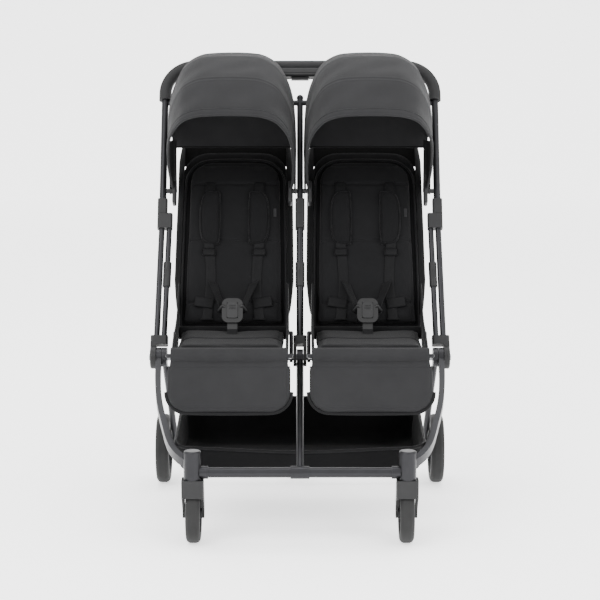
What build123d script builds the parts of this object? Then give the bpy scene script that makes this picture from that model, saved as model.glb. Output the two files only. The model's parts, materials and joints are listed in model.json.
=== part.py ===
from build123d import *
import math
import os

os.makedirs("parts", exist_ok=True)

# Side-by-side double stroller. Millimetres, +Z up, +Y to the back, +X to the pusher's left.
# The main joint of the frame is the hub axle, which runs across the stroller.

# ---- clearances ----
RUN = 0.06  # a pin in its bore
SLEEVE = 0.15  # a sleeve on its tube
GAP = 0.5  # between pieces that move past each other
SHOW = 1.5  # between nested hood panels

# ---- frame stations in the side view, measured from the rear axle line at Y = 300 ----
HUB_Y, HUB_Z = 80, 376
REAR_AXLE_Y, REAR_AXLE_Z = 300, 90
CASTER_Y = -300
FRONT_BAR_Z = 177
HANDLE_LEAN = 27.7  # push tubes lean back from upright, degrees
HINGE_V = 382  # push fold, measured up the push tubes from the hub axle
HOOD_V = 446  # hood pivots
CROSS_V = 693  # upper cross bar
HANDLE_V = 797  # middle of the handlebar
SOCKET_V = 218  # middle of the accessory sockets

# ---- hub, tubes and legs ----
HUB_R = 29
AXLE_R = 8
EYE_R = 24
EYE_W = 13
LEG_X = 352  # front leg eye
REAR_EYE_X = LEG_X - EYE_W - 1
HUB_CAP_W = 15
SADDLE_LOW, SADDLE_HIGH = 31, 54
SADDLE_D = 28
OUTER_R, OUTER_X_LOW, OUTER_X_HIGH = 7.5, 359, 353
INNER_R, INNER_X_LOW, INNER_X_HIGH = 7, 340.5, 334
STRUT_R = 9
WALL = 1.6
SOCKET_R, SOCKET_L = 10.2, 66
LEG_W, LEG_D = 14, 25
REAR_LEG_R, REAR_LEG_X_LOW = 8, 325
REAR_TUBE_R = 10
CENTRE_EYE_R, CENTRE_EYE_W = 20, 16
CHEEK_W = 8

# ---- wheels and casters ----
REAR_WHEEL_R, REAR_TYRE_W, REAR_WHEEL_X = 90, 35, 358
REAR_RIM_R, STUB_R = 66, 5
FRONT_WHEEL_R, FRONT_TYRE_W = 70, 34
FRONT_RIM_R, FRONT_AXLE_R = 48, 4
CASTER_X, TRAIL = 250, 35
POST_R, POST_LOW, POST_HIGH = 20.5, 161.5, 229
STEM_R, STEM_HIGH = 6, 214
FORK_W, FORK_PLATE = 51, 5
FRONT_BAR_R, COLLAR_R = 12, 15

# ---- push frame ----
PUSH_R, PUSH_X = 9, 352
HANDLE_BEND = 78
GRIP_R, GRIP_LOW = 16, 700
KNUCKLE_L, KNUCKLE_D = 40, 24
KNUCKLE_PIN_BACK = 19  # hinge pin behind the tube centre line
BARREL_R, KNUCKLE_PIN_R = 6, 3
POST_TUBE_R, CROSS_R, BALL_R = 8, 7, 9
CLIP_WALL = 4
RELEASE_W, RELEASE_H, RELEASE_D = 170, 26, 28
BUTTON_W, BUTTON_D, BUTTON_TRAVEL = 46, 12, 5

# ---- hoods ----
HOOD_X, HOOD_HALF = 174, 164
HOOD_TOP = 355
HOOD_T = 3
HOOD_FRONT, HOOD_BACK = 52, -8  # forward of upright, degrees
HOOD_LAP = 2
HOOD_DROP = 98  # rear panel below the cross bar
HOOD_PIN_R, HOOD_BOSS_R = 6, 20
HOOD_SHOULDER = ((0, 0), (82, 7.5), (118, 30), (140, 67), (153, 104), (160, 145))  # out, down

# ---- seats ----
SEAT_X, SEAT_HALF = 168, 140
SEAT_TOP, SEAT_T = 445, 44
BIGHT_Y, BIGHT_Z = 116, 431  # recline axis
BACK_LEAN, BACK_L, BACK_T = 33.6, 515, 34
BACK_HALF_LOW, BACK_HALF_TOP, BACK_CORNER = 140, 133, 60
KNEE_Y, KNEE_Z, KNEE_R = -166, 427, 20  # calf rest axis and front roll
CALF_LEAN, CALF_L, CALF_T = 205.5, 142, 24
CALF_HALF, CALF_CORNER = 152, 52
RAIL_X, RAIL_R = 146, 5
PAD_X, PAD_W, PAD_T, PAD_LOW, PAD_HIGH = 64, 60, 13, 232, 392
BUCKLE_W, BUCKLE_H, BUCKLE_T = 52, 62, 18
KEY_W, KEY_H, KEY_TRAVEL = 27, 40, 3

# ---- basket ----
BASKET_HALF, BASKET_T = 298, 3
BASKET_FRONT, BASKET_BACK = -188, 196
BASKET_RIM_FRONT, BASKET_RIM_BACK, BASKET_FLOOR = 208, 236, 130
HANGER_W = 24

# ---- origin: middle of the footprint, on the floor ----
FRONT_MOST = CASTER_Y + TRAIL - FRONT_WHEEL_R


def toward(lean):
    """Unit vector in the side view, lean degrees back from straight up."""
    return Vector(0, math.sin(math.radians(lean)), math.cos(math.radians(lean)))


def leaning_plane(origin, lean):
    """Plane with x across the stroller and y along the lean, facing forwards."""
    return Plane(origin=origin, x_dir=(1, 0, 0), z_dir=Vector(1, 0, 0).cross(toward(lean)))


HUB = Vector(0, HUB_Y, HUB_Z)
MAIN = leaning_plane(HUB, HANDLE_LEAN)
HOOD_AXIS = MAIN.from_local_coords(Vector(0, HOOD_V, 0))
HINGE_AXIS = MAIN.from_local_coords(Vector(0, HINGE_V, -KNUCKLE_PIN_BACK))
HANDLE = MAIN.from_local_coords(Vector(0, HANDLE_V, 0))
CENTRING = Pos(0, -(FRONT_MOST + HANDLE.Y + GRIP_R) / 2, 0)

FRONT_LEAN = -math.degrees(math.atan2(HUB_Y - CASTER_Y, FRONT_BAR_Z + 22 - HUB_Z))
REAR_LEAN = math.degrees(math.atan2(REAR_AXLE_Y - HUB_Y, REAR_AXLE_Z - HUB_Z))
FRONT = leaning_plane(HUB, FRONT_LEAN)


def save(name, shape):
    """Write one piece, moved to the shared origin."""
    export_step(CENTRING * shape, f"parts/{name}.step")


def both_sides(name, shape):
    """Write a piece modelled on the left and its mirror image on the right."""
    save(f"{name}_left", shape)
    save(f"{name}_right", mirror(shape, about=Plane.YZ))


def pin(x0, x1, y, z, radius):
    """Cylinder along X."""
    return Pos((x0 + x1) / 2, y, z) * Rot(0, 90, 0) * Cylinder(radius, x1 - x0)


def rod(a, b, radius, wall=0):
    """Straight rod or tube between two points."""
    a, b = Vector(a), Vector(b)
    length = (b - a).length
    base = Plane(origin=a, z_dir=b - a)
    section = Circle(radius) if not wall else Circle(radius) - Circle(radius - wall)
    return extrude(base * section, length)


def main_point(x, v, w=0):
    """Point given across, up the push tubes and forwards of them."""
    return MAIN.from_local_coords(Vector(x, v, w))


def block(x0, x1, v0, v1, w0, w1, edge=0):
    """Box in the lean of the push tubes, with its long edges rounded."""
    box = Pos((x0 + x1) / 2, (v0 + v1) / 2, (w0 + w1) / 2) * Box(x1 - x0, v1 - v0, w1 - w0)
    if edge:
        box = fillet(box.edges().filter_by(Axis.Y), edge)
    return MAIN * box


def ring(x0, x1, y, z, outer, inner):
    """Ring around an axis along X."""
    return pin(x0, x1, y, z, outer) - pin(x0 - 1, x1 + 1, y, z, inner)


# ---------------------------------------------------------------- lower frame
def side_hub():
    """Outer cap over the leg eyes, with the saddle that holds the side tubes."""
    cap_x = LEG_X + EYE_W / 2 + GAP
    cap = pin(cap_x, cap_x + HUB_CAP_W, HUB_Y, HUB_Z, HUB_R)
    cap = fillet(cap.edges().filter_by(GeomType.CIRCLE).sort_by(Axis.X)[-1], 5)
    half = SADDLE_D / 2
    web = block(cap_x, cap_x + HUB_CAP_W, 0, SADDLE_LOW + 6, -half, half)
    saddle_x = INNER_X_LOW - INNER_R - 3
    saddle = block(saddle_x, cap_x + HUB_CAP_W, SADDLE_LOW, SADDLE_HIGH, -half, half, 6)
    return cap + web + saddle - pin(0, cap_x + HUB_CAP_W - 4, HUB_Y, HUB_Z, AXLE_R)


def centre_hub():
    """Two cheeks round the middle leg, with the saddle that holds the centre strut."""
    inner = CENTRE_EYE_W / 2 + GAP
    outer = inner + CHEEK_W
    hub = block(-outer, outer, SADDLE_LOW, SADDLE_HIGH, -SADDLE_D / 2, SADDLE_D / 2, 6)
    for x in (-outer, inner):
        hub += pin(x, x + CHEEK_W, HUB_Y, HUB_Z, CENTRE_EYE_R + 3)
        hub += block(x, x + CHEEK_W, 0, SADDLE_LOW + 6, -SADDLE_D / 2, SADDLE_D / 2)
    return hub - pin(-outer - 1, outer + 1, HUB_Y, HUB_Z, AXLE_R)


def tube_x(low, high, v):
    """X of a side tube at height v between the saddle and the fold."""
    t = (v - SADDLE_HIGH) / (HINGE_V - KNUCKLE_L - SADDLE_HIGH)
    return low + (high - low) * t


def lower_tube(low, high, radius):
    """Side tube or strut from the saddle to the fold knuckle."""
    top = HINGE_V - KNUCKLE_L
    return rod(main_point(low, SADDLE_HIGH + GAP), main_point(high, top - GAP), radius, WALL)


def socket(x_low, x_high, tube_r):
    """Plastic sleeve with a narrow slot, where an accessory plugs in."""
    v0, v1 = SOCKET_V - SOCKET_L / 2, SOCKET_V + SOCKET_L / 2
    a = main_point(tube_x(x_low, x_high, v0), v0)
    b = main_point(tube_x(x_low, x_high, v1), v1)
    outer = max(SOCKET_R, tube_r + 2.5)
    sleeve = fillet(rod(a, b, outer).edges(), 1.5) - rod(a, b, tube_r + SLEEVE)
    x = tube_x(x_low, x_high, SOCKET_V)
    return sleeve - block(x - 3, x + 3, SOCKET_V - 12, SOCKET_V + 12, outer - 1.2, outer + 2)


def knuckle(x0, x1, barrels, upper):
    """Half of the fold joint: a block on the tube end and its hinge barrels behind."""
    sign = 1 if upper else -1
    v_near, v_far = sign * GAP / 2, sign * KNUCKLE_L
    v0, v1 = HINGE_V + min(v_near, v_far), HINGE_V + max(v_near, v_far)
    back = KNUCKLE_PIN_BACK - BARREL_R - 1
    half = block(x0, x1, v0, v1, -back, KNUCKLE_D / 2, 5)
    for low, high in barrels:
        web_v = sorted((HINGE_V + v_near, HINGE_V + sign * BARREL_R))
        half += pin(low, high, HINGE_AXIS.Y, HINGE_AXIS.Z, BARREL_R)
        half += block(low, high, web_v[0], web_v[1], -KNUCKLE_PIN_BACK, -back + 3)
    bore = KNUCKLE_PIN_R + (RUN if upper else 0)
    return half - pin(x0 - 1, x1 + 1, HINGE_AXIS.Y, HINGE_AXIS.Z, bore)


def lower_frame():
    """Hubs, axle, side tubes, centre strut, sockets and the lower half of the fold."""
    both_sides("fold_hub", side_hub())
    save("fold_hub_centre", centre_hub())
    axle_end = LEG_X + EYE_W / 2 + GAP + HUB_CAP_W - 4
    save("hub_axle", pin(-axle_end, axle_end, HUB_Y, HUB_Z, AXLE_R))
    both_sides("lower_tube", lower_tube(OUTER_X_LOW, OUTER_X_HIGH, OUTER_R))
    both_sides("inner_tube", lower_tube(INNER_X_LOW, INNER_X_HIGH, INNER_R))
    save("centre_strut", lower_tube(0, 0, STRUT_R))
    side_socket = socket(INNER_X_LOW, INNER_X_HIGH, INNER_R)
    sockets = [side_socket, mirror(side_socket, about=Plane.YZ), socket(0, 0, STRUT_R)]
    save("accessory_sockets", Compound(children=sockets))
    x0, x1 = INNER_X_HIGH - INNER_R - 1, PUSH_X + 12.5
    side = knuckle(x0, x1, ((PUSH_X - 12, PUSH_X - 6), (PUSH_X + 6, PUSH_X + 12)), False)
    side += pin(PUSH_X - 12, PUSH_X + 12, HINGE_AXIS.Y, HINGE_AXIS.Z, KNUCKLE_PIN_R)
    middle = knuckle(-12, 12, ((-12, -5), (5, 12)), False)
    middle += pin(-12, 12, HINGE_AXIS.Y, HINGE_AXIS.Z, KNUCKLE_PIN_R)
    lower = [side, mirror(side, about=Plane.YZ), middle]
    save("fold_knuckles_lower", Compound(children=lower))


# ---------------------------------------------------------------- front frame
def caster_post():
    """Upright housing for the swivel stem."""
    height = POST_HIGH - POST_LOW
    post = Pos(CASTER_X, CASTER_Y, POST_LOW + height / 2) * Cylinder(POST_R, height)
    post = fillet(post.edges().filter_by(GeomType.CIRCLE).sort_by(Axis.Z)[-1], 5)
    bore = Pos(CASTER_X, CASTER_Y, (POST_LOW + STEM_HIGH) / 2)
    return post - bore * Cylinder(STEM_R + RUN, STEM_HIGH - POST_LOW + 4)


def front_leg(post):
    """Flat oval leg from its hub eye, curving inwards to the caster post."""
    reach = math.hypot(HUB_Y - CASTER_Y, HUB_Z - FRONT_BAR_Z - 22)
    line = Spline(
        (LEG_X, 10),
        (LEG_X - 4, reach * 0.27),
        (LEG_X - 15, reach * 0.5),
        (LEG_X - 33, reach * 0.71),
        (LEG_X - 55, reach * 0.89),
        (CASTER_X + POST_R / 2, reach * 1.0),
    )
    leg = extrude(FRONT * trace(line, LEG_W), LEG_D / 2, both=True)
    leg = leg - pin(LEG_X - 20, LEG_X + 20, HUB_Y, HUB_Z, EYE_R - 3)
    leg = leg - extrude(Pos(CASTER_X, CASTER_Y, 0) * Circle(POST_R + 0.02), HUB_Z)
    leg = leg.solids().sort_by(SortBy.VOLUME)[-1]
    leg -= pin(LEG_X + EYE_W / 2, LEG_X + 30, HUB_Y, HUB_Z, EYE_R + 8)
    leg -= pin(LEG_X - 30, LEG_X - EYE_W / 2, HUB_Y, HUB_Z, EYE_R + 8)
    eye = ring(LEG_X - EYE_W / 2, LEG_X + EYE_W / 2, HUB_Y, HUB_Z, EYE_R, AXLE_R + RUN)
    return leg + eye


def cross_bar():
    """Bar between the caster posts, with end collars and the middle tee."""
    reach = CASTER_X - 10
    bar = pin(-reach, reach, CASTER_Y, FRONT_BAR_Z, FRONT_BAR_R)
    bar += pin(-22, 22, CASTER_Y, FRONT_BAR_Z, COLLAR_R)
    for side in (-1, 1):
        middle = side * (CASTER_X - POST_R - 6)
        bar += pin(middle - 10, middle + 10, CASTER_Y, FRONT_BAR_Z, COLLAR_R)
        bar -= Pos(side * CASTER_X, CASTER_Y, FRONT_BAR_Z) * Cylinder(POST_R + 0.02, 80)
    return bar.solids().sort_by(SortBy.VOLUME)[-1]


def centre_leg():
    """Round leg in the middle, from the tee to the centre hub."""
    start = HUB + toward(FRONT_LEAN) * 12
    end = Vector(0, CASTER_Y, FRONT_BAR_Z)
    leg = rod(start, end, STRUT_R)
    leg -= pin(-40, 40, CASTER_Y, FRONT_BAR_Z, COLLAR_R + 0.02)
    eye_half = CENTRE_EYE_W / 2
    leg -= pin(-40, -eye_half, HUB_Y, HUB_Z, CENTRE_EYE_R + 8)
    leg -= pin(eye_half, 40, HUB_Y, HUB_Z, CENTRE_EYE_R + 8)
    leg += pin(-eye_half, eye_half, HUB_Y, HUB_Z, CENTRE_EYE_R)
    return leg - pin(-40, 40, HUB_Y, HUB_Z, AXLE_R + RUN)


def front_frame():
    """Front legs, cross bar and caster posts."""
    post = caster_post()
    both_sides("caster_post", post)
    both_sides("front_leg", front_leg(post))
    save("front_cross_bar", cross_bar())
    save("centre_leg", centre_leg())


# ---------------------------------------------------------------- wheels
def tyre(radius, width, rim_r):
    """Solid tyre with a rounded tread, on its side at the origin."""
    section = Pos((radius + rim_r) / 2, 0) * Rectangle(radius - rim_r, width)
    tread = section.vertices().sort_by(Axis.X)
    section = fillet(tread[-2:], min(width * 0.34, (radius - rim_r) * 0.6))
    section = fillet(section.vertices().sort_by(Axis.X)[:2], 2)
    return revolve(Plane.XZ * section, Axis.Z)


def rim(rim_r, width, hub_r, hub_w, bore_r, windows):
    """Moulded rim: band, webbed disc with windows, and hub."""
    seat_r = rim_r - SLEEVE
    body = Cylinder(seat_r, width) - Cylinder(seat_r - 5, width)
    body += Cylinder(seat_r - 2, 7)
    body += Cylinder(hub_r, hub_w)
    middle = (seat_r - 5 + hub_r) / 2
    window_r = (seat_r - 5 - hub_r) / 2 - 4
    body -= PolarLocations(middle, windows) * Cylinder(window_r, 20)
    return body - Cylinder(bore_r, hub_w + 2)


def fork():
    """Swivel fork: stem, arched crown, two side plates and the wheel axle."""
    half = FORK_W / 2
    top = POST_LOW - GAP
    plate = Polyline((-21, top), (19, top), (31, 128), (TRAIL + 12, 78), (TRAIL + 7, 60),
                     (TRAIL - 7, 60), (TRAIL - 13, 80), (-4, 112), (-21, 118), (-21, top))
    side = extrude(Plane.YZ * make_face(plate), half, both=True)
    side = fillet(side.edges().filter_by(Axis.Z), 4)
    hollow = half - FORK_PLATE
    side -= Pos(0, TRAIL, FRONT_WHEEL_R) * Rot(0, 90, 0) * Cylinder(
        FRONT_WHEEL_R + 4, 2 * hollow)
    body = side + Pos(0, 0, top - 6) * Cylinder(POST_R, 12)
    body = body & Pos(0, TRAIL, top - 60) * Box(FORK_W, 160, 120)
    body += Pos(0, 0, (top + STEM_HIGH - 2) / 2) * Cylinder(STEM_R, STEM_HIGH - 2 - top)
    body += pin(-half, half, TRAIL, FRONT_WHEEL_R, FRONT_AXLE_R)
    return Pos(CASTER_X, CASTER_Y, 0) * body


def wheels():
    """Four wheels and the two caster forks."""
    on_edge = Rot(0, 90, 0)
    place = Pos(CASTER_X, CASTER_Y + TRAIL, FRONT_WHEEL_R) * on_edge
    both_sides("caster_fork", fork())
    both_sides("front_tyre", place * tyre(FRONT_WHEEL_R, FRONT_TYRE_W, FRONT_RIM_R))
    hub_w = FORK_W - 2 * FORK_PLATE - 2 * GAP
    both_sides("front_rim", place * rim(
        FRONT_RIM_R, FRONT_TYRE_W - 6, 13, hub_w, FRONT_AXLE_R + RUN, 6))
    place = Pos(REAR_WHEEL_X, REAR_AXLE_Y, REAR_AXLE_Z) * on_edge
    both_sides("rear_tyre", place * tyre(REAR_WHEEL_R, REAR_TYRE_W, REAR_RIM_R))
    both_sides("rear_rim", place * rim(
        REAR_RIM_R, REAR_TYRE_W - 6, 17, REAR_TYRE_W, STUB_R + RUN, 6))


# ---------------------------------------------------------------- rear frame
def rear_leg():
    """Rear leg from its hub eye to the clamp round the axle tube."""
    axle = Vector(REAR_LEG_X_LOW, REAR_AXLE_Y, REAR_AXLE_Z)
    eye_x = REAR_EYE_X
    half = EYE_W / 2
    leg = rod(Vector(eye_x, HUB_Y, HUB_Z) + toward(REAR_LEAN) * 12, axle, REAR_LEG_R)
    leg -= pin(eye_x + half, eye_x + 30, HUB_Y, HUB_Z, EYE_R + 14)
    leg -= pin(eye_x - 30, eye_x - half, HUB_Y, HUB_Z, EYE_R + 14)
    leg += pin(eye_x - half, eye_x + half, HUB_Y, HUB_Z, EYE_R)
    leg += pin(axle.X - 9, axle.X + 9, axle.Y, axle.Z, REAR_TUBE_R + 7)
    leg -= pin(0, 400, axle.Y, axle.Z, REAR_TUBE_R + SLEEVE)
    return leg - pin(0, 400, HUB_Y, HUB_Z, AXLE_R + RUN)


def rear_axle():
    """Axle tube with the two stub axles that carry the rear wheels."""
    shoulder = REAR_WHEEL_X - REAR_TYRE_W / 2 - GAP
    tube = pin(-shoulder, shoulder, REAR_AXLE_Y, REAR_AXLE_Z, REAR_TUBE_R)
    end = REAR_WHEEL_X + REAR_TYRE_W / 2
    return tube + pin(-end, end, REAR_AXLE_Y, REAR_AXLE_Z, STUB_R)


def brake_pedal():
    """Foot pedal that turns on the axle tube."""
    boss = pin(-34, 34, REAR_AXLE_Y, REAR_AXLE_Z, REAR_TUBE_R + 5)
    tread = Box(68, 62, 8)
    tread = fillet(tread.edges().filter_by(Axis.Z), 10)
    tread = Pos(0, REAR_AXLE_Y + 40, REAR_AXLE_Z + 8) * Rot(8, 0, 0) * tread
    return boss + tread - pin(-40, 40, REAR_AXLE_Y, REAR_AXLE_Z, REAR_TUBE_R + RUN)


def rear_frame():
    """Rear legs, axle and brake pedal."""
    both_sides("rear_leg", rear_leg())
    save("rear_axle", rear_axle())
    save("brake_pedal", brake_pedal())


# ---------------------------------------------------------------- push frame
def handle_path(low):
    """Centre line of the handle from height low on one side to the other."""
    corners = ((-PUSH_X, low), (-PUSH_X, HANDLE_V), (PUSH_X, HANDLE_V), (PUSH_X, low))
    return MAIN * FilletPolyline(*corners, radius=HANDLE_BEND)


def swept(path, outer, inner):
    """Tube along a path."""
    start = Plane(origin=path @ 0, z_dir=path % 0)
    return sweep(start * (Circle(outer) - Circle(inner)), path=path)


def upper_support():
    """Cross bar behind the hoods, centre post and its ball cap, welded together."""
    inside = PUSH_X - PUSH_R
    bar = rod(main_point(-inside, CROSS_V), main_point(inside, CROSS_V), CROSS_R)
    for side in (-1, 1):
        start, end = main_point(side * PUSH_X, HINGE_V), main_point(side * PUSH_X, HANDLE_V)
        bar -= rod(start, end, PUSH_R + 0.02)
    bar = bar.solids().sort_by(SortBy.VOLUME)[-1]
    foot, top = main_point(0, HINGE_V + KNUCKLE_L), main_point(0, CROSS_V + 14)
    post = rod(foot, top, POST_TUBE_R)
    return bar + post + Pos(*top) * Sphere(BALL_R)


def release():
    """Fold-release housing under the grip, and its sliding button."""
    v1 = HANDLE_V - GRIP_R * 0.4
    v0 = v1 - RELEASE_H
    half, deep = RELEASE_W / 2, RELEASE_D / 2
    housing = Pos(0, (v0 + v1) / 2, 0) * Box(RELEASE_W, RELEASE_H, RELEASE_D)
    housing = fillet(housing.edges().filter_by(Axis.X), 6)
    housing = MAIN * housing
    housing -= rod(main_point(-half - 1, HANDLE_V), main_point(half + 1, HANDLE_V),
                   GRIP_R + SLEEVE)
    v_mid = v0 + 9
    for w0, w1 in ((deep - 1.2, deep + 1), (-deep - 1, -deep + 1.2)):
        housing -= block(-half - 1, half + 1, v_mid - 1, v_mid + 1, w0, w1)
    w = BUTTON_W / 2
    d = BUTTON_D / 2
    depth = 12
    housing -= block(-w, w, v0 - 1, v0 + depth, -d, d)
    slack = 0.35
    button = block(-w + slack, w - slack, v0 - BUTTON_TRAVEL - 1, v0 + depth - BUTTON_TRAVEL - GAP,
                   -d + slack, d - slack)
    return housing, fillet(button.edges().filter_by(Axis.X), 1.5)


def hood_pivots():
    """Pins and round caps that the hood panels turn on."""
    y, z = HOOD_AXIS.Y, HOOD_AXIS.Z
    nest = 3 * (HOOD_T + SHOW)
    inner_face = HOOD_X - HOOD_HALF + nest
    outer_face = HOOD_X + HOOD_HALF - nest
    near = pin(POST_TUBE_R - 1, inner_face + 1, y, z, HOOD_PIN_R)
    near += pin(inner_face, inner_face + 4, y, z, HOOD_BOSS_R)
    near -= rod(main_point(0, HINGE_V), main_point(0, HANDLE_V), POST_TUBE_R + 0.02)
    far = pin(outer_face - 1, PUSH_X - PUSH_R + 1, y, z, HOOD_PIN_R)
    far += pin(outer_face - 4, outer_face, y, z, HOOD_BOSS_R)
    far -= rod(main_point(PUSH_X, HINGE_V), main_point(PUSH_X, HANDLE_V), PUSH_R + 0.02)
    return [near.solids().sort_by(SortBy.VOLUME)[-1], far.solids().sort_by(SortBy.VOLUME)[-1]]


def hood_clips():
    """Clips that hold the hood's rear panel to the cross bar."""
    clips = []
    for x in (28, HOOD_X + HOOD_HALF - 12):
        clip = rod(main_point(x - 8, CROSS_V), main_point(x + 8, CROSS_V), CROSS_R + CLIP_WALL)
        clip -= rod(main_point(x - 9, CROSS_V), main_point(x + 9, CROSS_V), CROSS_R + SLEEVE)
        clips.append(clip)
    return clips


def push_frame():
    """Handle, grip, upper support, fold release and hood fittings."""
    low = HINGE_V + KNUCKLE_L
    save("push_tube", swept(handle_path(low), PUSH_R, PUSH_R - WALL))
    save("handle_grip", swept(handle_path(GRIP_LOW), GRIP_R, PUSH_R + SLEEVE))
    save("upper_support", upper_support())
    housing, button = release()
    save("release_housing", housing)
    save("release_button", button)
    side = knuckle(PUSH_X - 12.5, PUSH_X + 12.5, ((PUSH_X - 5.5, PUSH_X + 5.5),), True)
    middle = knuckle(-12, 12, ((-4.5, 4.5),), True)
    upper = [side, mirror(side, about=Plane.YZ), middle]
    save("fold_knuckles_upper", Compound(children=upper))
    for name, pieces in (("hood_pivots", hood_pivots()), ("hood_clips", hood_clips())):
        mirrored = [mirror(piece, about=Plane.YZ) for piece in pieces]
        save(name, Compound(children=pieces + mirrored))


# ---------------------------------------------------------------- hoods
def hood_face(half, top, foot):
    """Region under the hood's arched cross-section, x across and y out from the pivots."""
    spread = half / HOOD_HALF
    right = [(x * spread, top - drop) for x, drop in HOOD_SHOULDER]
    left = [(-x, y) for x, y in reversed(right[1:])]
    side_top = top - 205
    points = [(-half, side_top), *left, *right, (half, side_top)]
    arch = Spline(*points, tangents=[(0, 1), (0, -1)])
    outline = arch + Polyline((half, side_top), (half, foot), (-half, foot), (-half, side_top))
    return make_face(outline)


def hood_panel(layer, back, front):
    """Arched panel between two angles forward of upright, with its pivot discs."""
    inset = layer * (HOOD_T + SHOW)
    half, top = HOOD_HALF - inset, HOOD_TOP - inset
    band = hood_face(half, top, 14) - hood_face(half - HOOD_T, top - HOOD_T, 10)
    centre = Vector(HOOD_X, HOOD_AXIS.Y, HOOD_AXIS.Z)
    plane = leaning_plane(centre, -back)
    panel = revolve(plane * band, Axis(centre, (1, 0, 0)), front - back)
    for x in (HOOD_X - half, HOOD_X + half - HOOD_T):
        panel += pin(x, x + HOOD_T, centre.Y, centre.Z, HOOD_BOSS_R)
    return panel - pin(0, HOOD_X * 2, centre.Y, centre.Z, HOOD_PIN_R + RUN)


def rear_drop():
    """Flat panel that falls from the hood's rear bow to behind the seat back."""
    bow = Vector(0, HOOD_AXIS.Y, HOOD_AXIS.Z) + toward(-HOOD_BACK) * (HOOD_TOP - 1)
    bar = main_point(0, CROSS_V)
    face_y = bar.Y - CROSS_R - CLIP_WALL - HOOD_T / 2 - RUN
    line = Polyline((bow.Y - 2, bow.Z), (face_y, bar.Z + 22), (face_y, bar.Z - HOOD_DROP))
    strip = extrude(Plane.YZ * trace(line, HOOD_T), 2 * HOOD_X)
    outline = Plane.XZ * Pos(HOOD_X, HOOD_AXIS.Z) * hood_face(HOOD_HALF, HOOD_TOP, 14)
    outline = extrude(outline, 900, both=True)
    slim = Pos(HOOD_X, 0, HOOD_AXIS.Z) * Box(2 * (HOOD_HALF - 16), 2000, 2000)
    return strip & outline & slim


def hoods():
    """Three nested panels on each side; the rear one stays with the push frame."""
    span = (HOOD_FRONT - HOOD_BACK) / 3
    for layer, name in enumerate(("hood_rear", "hood_middle", "hood_front")):
        back = HOOD_BACK + layer * span
        front = back + span + (HOOD_LAP if layer < 2 else 0)
        panel = hood_panel(layer, back, front)
        if layer == 0:
            panel += rear_drop()
        both_sides(name, panel)


# ---------------------------------------------------------------- seats
def strip_solid(origin, lean, half_low, half_top, length, thick, corner):
    """Flat pad that runs from an axis along a lean, rounded at its far corners."""
    plane = leaning_plane(origin, lean)
    outline = Polyline((-half_low, 0), (half_low, 0), (half_top, length),
                       (-half_top, length), (-half_low, 0))
    pad = extrude(plane * make_face(outline), thick / 2, both=True)
    far = pad.edges().filter_by(lambda e: abs(e.length - thick) < 0.01)
    tip = Vector(origin) + toward(lean) * length
    far = sorted(far, key=lambda e: abs((e.center() - tip).dot(toward(lean))))[:2]
    return fillet(far, corner)


def backrest():
    """Seat back with a rounded heel that turns on the recline axis."""
    axis = Vector(SEAT_X, BIGHT_Y, BIGHT_Z)
    pad = strip_solid(axis, BACK_LEAN, BACK_HALF_LOW, BACK_HALF_TOP, BACK_L, BACK_T, BACK_CORNER)
    x0, x1 = SEAT_X - BACK_HALF_LOW, SEAT_X + BACK_HALF_LOW
    pad += pin(x0, x1, BIGHT_Y, BIGHT_Z, BACK_T / 2)
    return pad - pin(x0 - 1, x1 + 1, BIGHT_Y, BIGHT_Z, RAIL_R + RUN)


def calf_rest():
    """Calf panel hung from the front roll."""
    axis = Vector(SEAT_X, KNEE_Y, KNEE_Z)
    roll_half = RAIL_X - RAIL_R - 1
    pad = strip_solid(axis, CALF_LEAN, CALF_HALF, CALF_HALF, CALF_L, CALF_T, CALF_CORNER)
    near = KNEE_R + 7
    for side in (-1, 1):
        notch = Pos(SEAT_X + side * (roll_half + 25), KNEE_Y, KNEE_Z) * Rot(0, 90, 0)
        pad -= notch * Cylinder(near, 50)
    x0, x1 = SEAT_X - roll_half, SEAT_X + roll_half
    pad += pin(x0, x1, KNEE_Y, KNEE_Z, KNEE_R)
    return pad - pin(x0 - 1, x1 + 1, KNEE_Y, KNEE_Z, RAIL_R + RUN)


def seat_base():
    """Seat cushion between the rolls, with a low fabric wing on each side."""
    x0, x1 = SEAT_X - SEAT_HALF, SEAT_X + SEAT_HALF
    length = BIGHT_Y - KNEE_Y
    cushion = Pos(SEAT_X, (BIGHT_Y + KNEE_Y) / 2, SEAT_TOP - SEAT_T / 2)
    seat = cushion * Box(x1 - x0, length, SEAT_T)
    heel = Vector(0, BIGHT_Y, BIGHT_Z) + toward(BACK_LEAN) * 130
    front = leaning_plane((0, 0, 0), BACK_LEAN).z_dir * (BACK_T / 2 + 4)
    crest = heel + front
    edge = Line((KNEE_Y + 24, SEAT_TOP - 2), (crest.Y - 150, SEAT_TOP + 34))
    edge += Line(edge @ 1, (crest.Y, crest.Z))
    low = Vector(0, BIGHT_Y, BIGHT_Z) + toward(BACK_LEAN) * 14 + front
    edge += Polyline(edge @ 1, (low.Y, low.Z), (low.Y - 20, SEAT_TOP - 2), edge @ 0)
    wing = extrude(Plane.YZ * make_face(edge), 3)
    seat += Pos(x0, 0, 0) * wing
    seat += Pos(x1 - 3, 0, 0) * wing
    for y, z, lean, radius, thick in (
        (BIGHT_Y, BIGHT_Z, BACK_LEAN, BACK_T / 2, BACK_T),
        (KNEE_Y, KNEE_Z, CALF_LEAN, KNEE_R, CALF_T),
    ):
        seat -= pin(x0 - 1, x1 + 1, y, z, radius + GAP)
        slab = Pos(0, 40, 0) * Box(2 * SEAT_HALF + 2, 80, thick + 2 * GAP)
        seat -= leaning_plane((SEAT_X, y, z), lean) * slab
    return seat.solids().sort_by(SortBy.VOLUME)[-1]


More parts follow.
